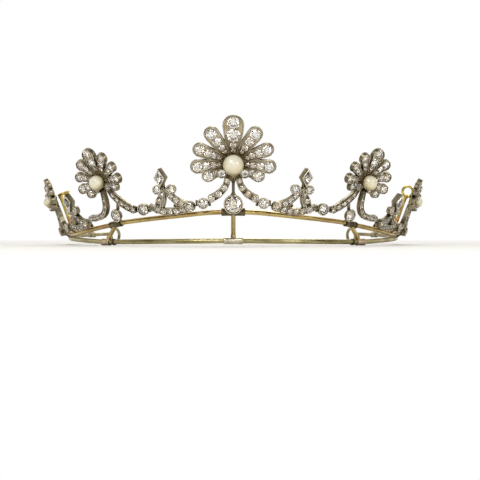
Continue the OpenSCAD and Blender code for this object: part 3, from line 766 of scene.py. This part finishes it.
# Flowers, with petals as turn, tip distance, tip width, root width and stones as distance and width
PETALS = [
    (90, 20.1, 8.6, 3.6, [(17.3, 5.1), (12.0, 5.5), (7.9, 2.7), (5.7, 1.7)]),
    (54.5, 18.2, 6.3, 3.3, [(15.4, 4.3), (11.45, 3.6), (8.35, 2.6), (6.2, 1.7)]),
    (23.5, 17.6, 5.8, 2.8, [(14.9, 3.9), (11.3, 3.3), (8.4, 2.5), (6.3, 1.7)]),
    (-4.5, 17.4, 5.8, 2.8, [(14.7, 3.9), (11.1, 3.3), (8.2, 2.5), (6.1, 1.7)]),
    (-27, 14.0, 5.1, 2.5, [(11.5, 3.9), (8.3, 2.5)])]
PETAL_START = 3
HUB_STONE_TURN, HUB_STONE_REACH, HUB_STONE_D = -40, 6, 3
HUB_RISE = 1.9


def all_petals():
    return PETALS + [(180 - p[0], *p[1:]) for p in PETALS if p[0] != 90]


# Form of a petal: share of its growth that is even, and its tip and the rim there where it is scalloped
EVEN_GROWTH, SCALLOP_TIP, TIP_RIM = 0.35, 0.84, 0.12


def petal_widths(p, k, start, end, count, scalloped):
    """Half widths along a petal, which follow its stones where it is scalloped."""
    root, tip = p[3] * k / 2, p[2] * k / 2
    widths = []
    for i in range(count):
        t = i / (count - 1)
        grown = EVEN_GROWTH * t + (1 - EVEN_GROWTH) * math.sin(t * math.pi / 2)
        w = root + (tip - root) * grown
        if scalloped:
            s = start + (end - start) * t
            w = root + (tip * SCALLOP_TIP - root) * grown
            for where, size in [(end / k, p[2])] + p[4][1:]:
                r = size * k / 2 + (TIP_RIM if where * k == end else RIM)
                w = max(w, math.sqrt(max(0, r * r - (s - where * k) ** 2)))
        widths.append(w)
    return widths


def scatter(shape, place, path, widths, stones, height, size):
    """Fills the bare floor between a plate's stones with small grains."""
    for i in range(1, len(path) - 1, 2):
        p = path[i]
        ahead = (path[i + 1] - path[i - 1]).normalized()
        side = Vector((-ahead.y, ahead.x, 0))
        room = widths[i] - 0.45
        if room < size:
            continue
        for share in (-1, -0.5, 0, 0.5, 1):
            q = p + side * room * share
            near = min([math.hypot(q.x - x, q.y - y) - r for x, y, r in stones] or [9])
            if size * 0.9 < near:
                shape.add(bead(size * rng.uniform(0.8, 1.15)), place @ move(q.x, q.y, height), BRIGHT)


def flower(metalwork, stones, place, k, scalloped, own=()):
    """Petals, hub and stones; own holds the shapes that take the top petal's first stones."""
    for p in all_petals():
        on = place @ turn_z(p[0]) @ turn_y(-CUP)
        start, end = PETAL_START * k, (p[1] - p[2] / 2) * k
        count = max(8, round((end - start) / PATH_STEP))
        path = [Vector((start + (end - start) * i / (count - 1), 0, 0)) for i in range(count)]
        widths = petal_widths(p, k, start, end, count, scalloped)
        seats = [(s * k, 0, d * k / 2) for s, d in p[4] if d * k > LEAST_STONE]
        holes = [(x, y, r * 0.97) for x, y, r in seats]
        metalwork.add(plate(path, widths, holes, floor_look=PALE), on)
        for i, (x, y, r) in enumerate(seats):
            top = p[0] == 90 and i < len(own)
            put_stone(own[i] if top else stones, on, x, y, PLATE_T - STONE_SINK, 2 * r)
            grains(metalwork, on, x, y, 2 * r, GRAIN_Z, 8 if r > 1.5 else 6, 0.14 + 0.05 * min(r, 2))
        tip = path[-1] + Vector((widths[-1] * 0.55, 0, 0))
        scatter(metalwork, on, path + [tip], widths + [widths[-1] * 0.8], seats, GRAIN_Z, 0.24)
    hub = [
        (4.3 * k, 0), (4.4 * k, 0.3), (4.4 * k, PLATE_T - 0.5), (4 * k, PLATE_T - 0.2),
        (2.6 * k, PLATE_T - 0.3), (2.4 * k, PLATE_T + 0.3), (1.6 * k, PLATE_T + 0.4)]
    metalwork.add(lathe(hub, 40), place, DARK)
    angle = math.radians(HUB_STONE_TURN)
    d = k * HUB_STONE_D
    height = PLATE_T + HUB_RISE * k
    for sign in (-1, 1):
        x, y = sign * k * HUB_STONE_REACH * math.cos(angle), k * HUB_STONE_REACH * math.sin(angle)
        metalwork.add(collet(d, height), place @ move(x, y))
        metalwork.add(lathe([(0, height - 0.8), (d * 0.44, height - 0.7)], 20), place @ move(x, y), FOIL)
        grains(metalwork, place, x, y, d, height, 8, 0.18)
        put_stone(stones, place, x, y, height - STONE_SINK, d, 0.5, HUB)


def make_pearl(name, place, k):
    shape = Shape()
    r = k * PEARL_D / 2
    shape.add(ball(r), place @ move(0, 0, PLATE_T + r - PEARL_SINK))
    shape.make(name + "_lustre", [pearl], "pearl", [name], 180)


def make_silver(shape, name):
    shape.make(name + "_detail", SILVER_LOOKS, "silver", [name])


def make_stones(shape, name, looks):
    shape.make(name + "_cut", looks, "diamond", [name], 0)


# Strips of settings: rows of x, y and stone width

def strip(metalwork, stones, place, rows, root=None, last=None, lift=0.0, shared=(), grow=1.2):
    """Stones are drawn larger than their cores by grow. Neighbours' stones under an end are shared."""
    points = ([root] if root else []) + list(rows) + ([last] if last else [])
    path, stations = smooth_path(points)
    lengths = [0.0]
    for p, q in zip(path, path[1:]):
        lengths.append(lengths[-1] + (q - p).length)
    radii = [p[2] / 2 * grow + STRIP_RIM for p in points]
    table = list(zip(stations, radii))
    widths = []
    for s in lengths:
        w = between(table, s) * 0.94
        for where, r in table:
            w = max(w, math.sqrt(max(0, r * r - (s - where) ** 2)))
        widths.append(w)
    holes = [(x, y, d / 2 * grow * 0.97) for x, y, d in list(rows) + list(shared)]
    metalwork.add(plate(path, widths, holes, lift=lift), place)
    for x, y, core in rows:
        d = core * grow
        grains(metalwork, place, x, y, d, GRAIN_Z + lift, 6, 0.17)
        put_stone(stones, place, x, y, PLATE_T - STONE_SINK + lift, d, look=STRIP)
    seats = [(x, y, r + 0.1) for x, y, r in holes]
    scatter(metalwork, place, path, widths, seats, GRAIN_Z + lift, 0.2)


def round_setting(metalwork, stones, place, d, height, claws=8):
    metalwork.add(collet(d, height), place)
    grains(metalwork, place, 0, 0, d, height, claws, 0.16 + 0.03 * d)
    put_stone(stones, place, 0, 0, height - STONE_SINK, d)


# Hinge between neighbours: three barrels as rows of place and length, and the bar through them
BARRELS = [(-0.85, 0.75), (0, 0.8), (0.85, 0.75)]
BARREL_R, BARREL_END_R = 0.52, 0.4
HINGE_Z = PLATE_T * 0.6
HINGE_BAR_R = 0.45


def knuckle(metalwork, place, x):
    """Small hinge barrels in a row, between a collet and its neighbour."""
    for y, length in BARRELS:
        e = length / 2
        profile = [(BARREL_END_R, -e), (BARREL_R, -e + 0.08), (BARREL_R, e - 0.08), (BARREL_END_R, e)]
        metalwork.add(lathe(profile, 12), place @ move(x, y, HINGE_Z) @ turn_x(90))


def hinge(metalwork, a, v, length):
    """Barrels on a short bar, between two neighbours that stand apart."""
    place = spot(a, v, PLATE_N)
    metalwork.add(rod((-length / 2, 0, HINGE_Z), (length / 2, 0, HINGE_Z), HINGE_BAR_R, 10), place)
    knuckle(metalwork, place, 0)


def peg(metalwork, place, top, foot, r=0.5):
    """Round peg from the back of a setting to a wire, a little wider at its foot."""
    metalwork.add(rod(top, foot, r, form=lambda t: 1 + 0.4 * max(0, t - 0.7)), place)


def band_setting(metalwork, stones, row):
    place = spot(row[0], row[1], PLATE_N)
    round_setting(metalwork, stones, place, row[2], PLATE_T + COLLET_RISE)
    for side in (-1, 1):
        knuckle(metalwork, place, side * (row[2] / 2 + RIM + 0.35))


# Centre: flower, two stems, drop stone and its bar
STEM_A = 5.5
STEM = [(-4.3, 13.6, 1.7), (-3.1, 10.6, 1.9), (-0.9, 8.1, 2.1), (2.1, 6.3, 2.2)]
STEM_ROOT = (-4.7, 17.0, 2.2)
FIRST = (10.2, 4.6, 3.5)
DROP_V, DROP_D, DROP_H = 4.1, 6.8, 2.6
BAR_N, BAR_L, BAR_R, BAR_FLAT = PLATE_N + 0.9, 10, 0.6, 0.9
BAR_FLARE_END = 0.12
TONGUE_V, TONGUE_L, TONGUE_R, TONGUE_FLAT = 12.4, 5, 0.65, 0.4


def flattened(share):
    return Matrix.Diagonal((1, 1, share, 1))


def make_centre():
    metalwork, stones, upper, lower, drop = Shape(), Shape(), Shape(), Shape(), Shape()
    flower(metalwork, stones, CENTRE_PLACE, 1, False, (upper, lower))
    for side, _ in SIDES:
        metalwork.place = half(side)
        stones.place = half(side)
        strip(metalwork, stones, spot(STEM_A, 0, PLATE_N), STEM, STEM_ROOT, grow=1.3)
        band_setting(metalwork, stones, FIRST)
    metalwork.place = Matrix()
    round_setting(metalwork, drop, spot(0, DROP_V, PLATE_N + 0.6), DROP_D, DROP_H, 10)
    foot = DROP_V + DROP_D / 2
    bar = rod((0, foot, 0), (0, foot + BAR_L, 0), BAR_R, 12, 20, lambda t: 1 + max(0, 1 - t / BAR_FLARE_END))
    metalwork.add(bar, spot(0, 0, BAR_N) @ flattened(BAR_FLAT))
    tongue = rod((0, TONGUE_V, 0), (0, TONGUE_V + TONGUE_L, 0), TONGUE_R, 16, 10, lambda t: 1 + 2 * t)
    metalwork.add(tongue, spot(0, 0, BAR_N) @ flattened(TONGUE_FLAT), BACK)
    make_silver(metalwork, "centre_spray")
    make_stones(stones, "centre_stones", STONE_LOOKS)
    for shape, name in ((upper, "top_stone_upper"), (lower, "top_stone_lower"), (drop, "drop_stone")):
        make_stones(shape, name, [diamond])
    make_pearl("centre_pearl", CENTRE_PLACE, 1)


# Festoons with their sprigs; k scales the heights
LOWER_ROW = [
    (-7.9, 4.0, 3.2), (-4.9, 2.6, 2.1), (-2.1, 2.1, 2.1), (0.7, 2.0, 2.1), (3.5, 2.1, 2.1), (6.2, 2.7, 2.1)]
BRANCH = [(-4.6, 5.4, 2.0), (-2.3, 6.6, 2.0), (-0.3, 8.4, 1.8)]
OUTER_STRIP = [(3.7, 9.0, 1.6), (5.0, 6.6, 2.0)]
FORK = (2.6, 11.4, 0.8)
SPRIG_R, SPRIG_Z, SPRIG_DOWN, SPRIG_UP, SPRIG_BEAD = 0.75, PLATE_T * 0.55, 1.5, 4.1, 0.62
WEB = [(-4.8, 4.1, 0.5), (-3.2, 4.35, 0.8), (-1.9, 4.6, 1.0)]
BLADE = [(2.5, 10.4, 0.6), (2.7, 8.0, 0.75), (3.2, 5.8, 0.8), (4.1, 3.8, 0.8)]
LEAVES = [(-0.8, 11.2, 3.3), (5.4, 11.1, 2.9)]
FESTOON_END = (9.0, 3.9, 1.6)
LOZENGE_X, LOZENGE_Y, LOZENGE_W, LOZENGE_H = 2.6, 16.2, 5.6, 7.8
LOZENGE_RISE = 1
CLAW_X, CLAW_Y, CLAW_R = 1.9, 2.75, 0.26
LOZENGE_YAW, OUTER_LOZENGE_YAW = 14, -10
FESTOON_A = 21.5
SECOND = (32.2, 4.4, 4)
SECOND_FESTOON_A, SECOND_LIFT, SECOND_K = 63, 0.8, 0.78
FOOT = (60.5, 0.93, 1.35)
FOOT_PROFILE = [(0.6, 0), (0.66, 0.15), (0.58, 0.6), (0.66, 1.6)]


def raised(rows, k):
    return [(x, y * k, d) for x, y, d in rows]


def leaves(k):
    made = []
    for (x, y, d), sign in zip(LEAVES, (-1, 1)):
        made.append((x + 2 * sign * (1 - k), y * k + 2 * (1 - k), d * (0.3 + 0.7 * k)))
    return made


def lozenge_ring(inset, z):
    w, h = LOZENGE_W / 2 - inset, LOZENGE_H / 2 - inset * 1.3
    return [(w, 0, z), (0, h, z), (-w, 0, z), (0, -h, z)]


def lozenge_setting(metalwork, place):
    """Four-sided box with a bright rim and a sloping inner wall."""
    top = PLATE_T + LOZENGE_RISE
    rings = [
        (0.5, 0), (0.05, 0.5), (0, top), (0.12, top + 0.15), (0.38, top + 0.12), (0.75, top - 0.12),
        (0.95, 0)]
    points = [p for inset, z in rings for p in lozenge_ring(inset, z)]
    faces = walls(len(rings), 4, closed=True)
    looks = [DARK] * 8 + [BRIGHT] * 12 + [DULL] * (len(faces) - 20)
    metalwork.add((points, faces, looks), place)
    for x, y in ((0, CLAW_Y), (0, -CLAW_Y), (CLAW_X, 0), (-CLAW_X, 0)):
        metalwork.add(bead(CLAW_R), place @ move(x, y, top + 0.05), BRIGHT)


def lozenge_stone(shape, place):
    """Stone of eight sides that fills the box."""
    w, h = LOZENGE_W - 1.6, LOZENGE_H - 2.1
    z = PLATE_T + LOZENGE_RISE - 0.05

    def ring(k, height):
        made = []
        for i in range(8):
            t = math.radians(45 * i)
            side = 1 if i % 2 == 0 else 0.78
            made.append((w / 2 * k * side * math.cos(t), h / 2 * k * side * math.sin(t), z + height))
        return made

    rows = ((0.45, 0.55), (0.8, 0.35), (1, 0), (1, -0.15), (0.5, -0.9))
    points = [p for row in rows for p in ring(*row)] + [(0, 0, z - 1.4)]
    faces = [tuple(range(8))]
    for i in range(8):
        j = (i + 1) % 8
        for k in range(4):
            faces.append((k * 8 + j, k * 8 + i, (k + 1) * 8 + i, (k + 1) * 8 + j))
        faces.append((32 + j, 32 + i, 40))
    shape.add((points, faces), place)


def plain_strip(metalwork, place, rows, lift):
    """Narrow plate without stones: rows of x, y and half width."""
    path, stations = smooth_path(rows)
    table = list(zip(stations, [row[2] for row in rows]))
    length = 0.0
    widths = [rows[0][2]]
    for p, q in zip(path, path[1:]):
        length += (q - p).length
        widths.append(between(table, length))
    metalwork.add(plate(path, widths, [], lift=lift), place)
    scatter(metalwork, place, path, widths, [], GRAIN_Z + lift, 0.2)


def festoon_parts(metalwork, stones, place, k):
    low = raised(LOWER_ROW, k)
    fork = raised([FORK], k)[0]
    grow = 1.2 if k == 1 else 1.06
    strip(metalwork, stones, place, low, grow=grow)
    strip(metalwork, stones, place, raised(BRANCH, k), low[0], fork, 0.04, [low[0]], grow)
    strip(metalwork, stones, place, raised(OUTER_STRIP, k), fork, low[5], -0.04, [low[5]], grow)
    strip(metalwork, stones, place, [], low[5], raised([FESTOON_END], k)[0], -0.08, [low[5]], grow)
    plain_strip(metalwork, place, raised(WEB, k), -0.1)
    plain_strip(metalwork, place, raised(BLADE, k), -0.14)
    for x, y, d in leaves(k):
        round_setting(metalwork, stones, place @ move(x, y, -0.05), d, PLATE_T + 0.15)
    x, y = FORK[0], FORK[1] * k
    metalwork.add(rod((x, y - SPRIG_DOWN, SPRIG_Z), (x, y + SPRIG_UP, SPRIG_Z), SPRIG_R, 12, 7), place)
    metalwork.add(bead(SPRIG_BEAD), place @ move(x, y + 0.6, PLATE_T))


def lozenge_place(k):
    yaw = LOZENGE_YAW if k == 1 else OUTER_LOZENGE_YAW
    return move(LOZENGE_X, LOZENGE_Y * k + (1 - k) * 1.5, 0) @ turn_y(yaw)


def make_festoons(side):
    for name, a, v, k in (("", FESTOON_A, 0, 1), ("outer_", SECOND_FESTOON_A, SECOND_LIFT, SECOND_K)):
        metalwork, stones, tip = Shape(half(side)), Shape(half(side)), Shape(half(side))
        place = spot(a, v, PLATE_N)
        festoon_parts(metalwork, stones, place, k)
        lozenge_setting(metalwork, place @ lozenge_place(k))
        lozenge_stone(tip, place @ lozenge_place(k))
        if name == "":
            band_setting(metalwork, stones, SECOND)
        else:
            metalwork.add(lathe(FOOT_PROFILE, 20), spot(*FOOT) @ turn_x(-90))
        make_silver(metalwork, name + "festoon_" + side)
        make_stones(stones, name + "festoon_stones_" + side, STONE_LOOKS)
        make_stones(tip, name + "lozenge_" + side, [diamond])


# Side flower, its two stems and the collet over the strut
INNER_STEM_A, OUTER_STEM_A = 42, 51
INNER_STEM = [(-6.9, 5.7, 2.1), (-4.0, 6.9, 2.0), (-1.4, 8.3, 1.9), (0.9, 10.1, 1.8), (3.0, 12.2, 1.8)]
INNER_ROOT = (5.4, 16.4, 1.4)
OUTER_STEM = [
    (-4.2, 11.8, 1.8), (-3.6, 9.0, 1.9), (-1.9, 6.7, 1.9), (0.6, 5.2, 1.9), (3.4, 4.4, 1.9),
    (6.3, 3.9, 1.9), (9.1, 3.9, 1.9)]
OUTER_ROOT = (-4.4, 15.5, 1.4)
STRUT_STONE = (44.2, 4.1, 4.4)
STRUT_STONE_N = 2.1
SIDE_HINGE = (57.2, 3.9, 3)
# Peg from the strut's collet, link from it up to the inner stem, and bright bar on that stem: both ends
STRUT_PEG = ((0, -2.2, 0.5), (-0.3, -4, -2.1))
STRUT_LINK = ((2.6, 5.0, PLATE_T / 2), (1.2, 9.4, PLATE_T / 2))
STEM_BAR = ((2.1, 13.4, PLATE_T * 0.7), (-7.3, 7.2, PLATE_T * 0.7))


def make_side(side):
    metalwork, stones, strut_stone = Shape(half(side)), Shape(half(side)), Shape(half(side))
    flower(metalwork, stones, SIDE_PLACE, SIDE_K, True)
    inner = spot(INNER_STEM_A, 0, PLATE_N)
    strip(metalwork, stones, inner, INNER_STEM, None, INNER_ROOT)
    strip(metalwork, stones, spot(OUTER_STEM_A, 0, PLATE_N), OUTER_STEM, OUTER_ROOT, None, -0.04)
    metalwork.add(rod(*STRUT_LINK, 0.7, 10, 4), inner)
    metalwork.add(rod(*STEM_BAR, 0.42, 12, 12), inner, BRIGHT)
    place = spot(*STRUT_STONE[:2], STRUT_STONE_N)
    round_setting(metalwork, strut_stone, place, STRUT_STONE[2], PLATE_T)
    peg(metalwork, place, *STRUT_PEG)
    hinge(metalwork, *SIDE_HINGE)
    make_silver(metalwork, "side_spray_" + side)
    make_stones(stones, "side_stones_" + side, STONE_LOOKS)
    make_stones(strut_stone, "strut_stone_" + side, [diamond])
    make_pearl("side_pearl_" + side, half(side) @ SIDE_PLACE, SIDE_K)


# Outer flower with a short stem and a collet on each side
SHORT_STEM = [(1.9, 10.8, 1.6), (3.0, 7.9, 1.7), (5.3, 5.7, 1.8)]
SHORT_ROOT = (1.6, 14.6, 1.2)
SHORT_END = (7.6, 4.5, 1.4)
THIRD = (70.8, 4.2, 3)
FOURTH = (81.2, 4.2, 3)
OUTER_HINGES = [(69, 4, 2.2), (83.1, 3.8, 2.4)]
OUTER_PEG = ((0, -1.6, 0.4), (0, -3.5, -1.05))


def make_outer(side):
    metalwork, stones = Shape(half(side)), Shape(half(side))
    flower(metalwork, stones, OUTER_PLACE, OUTER_K, True)
    for sign in (1, -1):
        at = spot(OUTER_A, 0, PLATE_N) @ Matrix.Scale(sign, 4, (1, 0, 0))
        strip(metalwork, stones, at, SHORT_STEM, SHORT_ROOT, SHORT_END, 0.02 * sign)
    for row in (THIRD, FOURTH):
        band_setting(metalwork, stones, row)
        peg(metalwork, spot(row[0], row[1], PLATE_N), *OUTER_PEG)
    for row in OUTER_HINGES:
        hinge(metalwork, *row)
    make_silver(metalwork, "outer_spray_" + side)
    make_stones(stones, "outer_stones_" + side, STONE_LOOKS)
    make_pearl("outer_pearl_" + side, half(side) @ OUTER_PLACE, OUTER_K)


# Yellow post behind the outer flower; its ring handle stands up on the right and lies flat on the left
POST_A, POST_V, POST_N, POST_L = 75, 3.4, -0.6, 15.5
RING_SIZE, RING_WIRE = 5.6, 1.1
FLAT_RING_SHIFT = 1.7
# Rows of radius and height: the red foot with its peg, and the yellow shaft above it
POST_FOOT = [(0.55, -1.9), (0.6, 0), (1.1, 0.15), (1.1, 2.0), (0.95, 2.35), (0.8, 2.6), (0.78, 5.6)]
POST_SHAFT = [
    (0.78, 5.5), (0.68, 9), (0.75, POST_L - 1.5), (0.95, POST_L - 1.2), (1.0, POST_L - 0.6), (0.9, POST_L),
    (0.5, POST_L + 0.25)]


def make_post(side):
    shape = Shape(half(side))
    place = spot(POST_A, POST_V, POST_N) @ turn_x(-90)
    shape.add(lathe(POST_FOOT, 28), place, 1)
    shape.add(lathe(POST_SHAFT, 28), place)
    mid = (RING_SIZE - RING_WIRE) / 2
    if side == "left":
        at = place @ move(0, FLAT_RING_SHIFT, POST_L + 0.2)
        shape.add(rod((0, mid, 0), (0, -mid, 0), RING_WIRE / 2, 14, 10), at)
    else:
        at = place @ move(0, 0, POST_L + RING_SIZE / 2 - RING_WIRE) @ turn_y(90)
    shape.add(lathe(circle(RING_WIRE / 2, 14, mid), 40, closed=True), at)
    shape.make("ring_post_" + side + "_detail", [post_gold, red_gold], "yellow_gold", ["ring_post_" + side])


# Tapering rows of small stones along the arm
ARM_SPOTS = [88.2, 96.4, 104.6]
ARM_ROW = [-4.3, 0, 4.3]
ARM_N = [PLATE_N, 0.5, -0.2]
ARM_V = 3.3
LAST_A, LAST_V, LAST_N, LAST_D = 112.6, 3.9, -1, 3.2
# Link from the row to the last collet, and that collet's peg: both ends
LAST_LINK = ((-6.6, -0.4, 1.2), (-2.1, -0.4, 1.2))
LAST_PEG = ((0, -1.7, 1), (0, -3.3, 1))


def make_arm(side):
    metalwork, stones = Shape(half(side)), Shape(half(side))
    for i, (a, n) in enumerate(zip(ARM_SPOTS, ARM_N)):
        rows = [(x, 0, 2.2 - 0.2 * i) for x in ARM_ROW]
        strip(metalwork, stones, spot(a, ARM_V, n), rows, (-7.6, 0, 1.2), (7.6, 0, 1.2), 0.03 * i)
        for x in (ARM_ROW[0] / 2, ARM_ROW[2] / 2):
            peg(metalwork, spot(a, ARM_V, n), (x, -1.1, 0.7), (x, -2.8, -n))
    last = spot(LAST_A, LAST_V, LAST_N)
    round_setting(metalwork, stones, last, LAST_D, PLATE_T + COLLET_RISE)
    metalwork.add(rod(*LAST_LINK, 0.75, 10, 5), last)
    peg(metalwork, last, *LAST_PEG, 0.6)
    make_silver(metalwork, "arm_festoon_" + side)
    make_stones(stones, "arm_stones_" + side, STONE_LOOKS)


make_upper_wire()
make_lower_wire()
make_centre()
for side, sign in SIDES:
    make_festoons(side)
    make_side(side)
    make_outer(side)
    make_post(side)
    make_arm_wire(side, sign)
    make_arm(side)


# Floor, lights and camera, in metres

def make_floor():
    """Pale floor whose far part glows white as painted light, so that it runs into the white of the room
    away from the tiara.
    """
    look, tree, shader = new_material("floor")
    tones = ramp(tree, noise(tree, 3, 2), [(0.3, (0.92, 0.92, 0.92)), (0.7, (0.94, 0.94, 0.94))])
    feed(tree, shader, {"Base Color": tones, "Roughness": 0.8})
    where = node(tree, "ShaderNodeTexCoord").outputs["Object"]
    # Painted light: the floor turns into a white glow from 0.12 m to 0.45 m away from the middle
    glow = spread(tree, maths(tree, VECTORS, "LENGTH", where, out=1), 0, 1, 0.12, 0.45)
    room = node(tree, "ShaderNodeEmission").outputs["Emission"]
    blend = node(tree, "ShaderNodeMixShader", {0: glow, 1: shader.outputs["BSDF"], 2: room})
    feed(tree, tree.nodes["Material Output"], {"Surface": blend.outputs["Shader"]})
    mesh = bpy.data.meshes.new("floor")
    mesh.from_pydata([(-4, -4, 0), (4, -4, 0), (4, 4, 0), (-4, 4, 0)], [], [(0, 1, 2, 3)])
    mesh.materials.append(look)
    floor = new_object("floor", mesh)
    floor.location.z = -0.0001


LIGHT_AIM = Vector((0, 0, 0.02))


def make_light(name, place, size, power):
    data = bpy.data.lights.new(name, "AREA")
    data.shape = "DISK"
    data.size = size
    data.energy = power
    lamp = new_object(name, data)
    lamp.location = place
    lamp.rotation_euler = (LIGHT_AIM - Vector(place)).to_track_quat("-Z", "Y").to_euler()


def make_world():
    """White to the camera; darker to the tiara on the camera's side, which gives the stones contrast."""
    world = bpy.data.worlds.new("studio")
    world.use_nodes = True
    bpy.context.scene.world = world
    tree = world.node_tree
    where = node(tree, "ShaderNodeTexCoord").outputs["Generated"]
    parts = node(tree, "ShaderNodeSeparateXYZ", {"Vector": where}).outputs
    tones = ramp(tree, parts["Y"], [(0.0, (0.10, 0.095, 0.085)), (0.2, (0.96, 0.91, 0.82))])
    seen_directly = node(tree, "ShaderNodeLightPath").outputs["Is Camera Ray"]
    feed(tree, tree.nodes["Background"], {"Color": mix(tree, seen_directly, tones, (1.0, 1.0, 1.0))})


# The camera stands in front at the photograph's distance, just above the floor, and is turned down and to
# the right by a few of the picture's pixels
CAMERA_Z = 0.006
CAMERA_Y = -0.713
LENS, SENSOR = 122, 36
PICTURE_PX, DOWN_PX, RIGHT_PX = 480, 9, 6.7


def make_camera():
    data = bpy.data.cameras.new("camera")
    data.lens = LENS
    data.sensor_width = SENSOR
    data.sensor_fit = "HORIZONTAL"
    camera = new_object("camera", data)
    pixel = SENSOR / PICTURE_PX / LENS
    camera.location = (0, CAMERA_Y, CAMERA_Z)
    camera.rotation_euler = (math.radians(90) - DOWN_PX * pixel, 0, -RIGHT_PX * pixel)
    bpy.context.scene.camera = camera


make_floor()
make_world()
make_light("key", (-0.4, -0.7, 0.75), 0.35, 3.4)
make_light("glow", (-0.16, -0.78, 0.42), 0.3, 0.9)
make_light("fill", (0.6, -0.6, 0.3), 0.3, 1.5)
make_light("spark", (0.12, -0.9, 0.25), 0.08, 0.5)
make_light("rim", (0.1, 0.7, 0.8), 0.4, 2.5)
make_camera()
bpy.context.scene.view_settings.view_transform = "Standard"
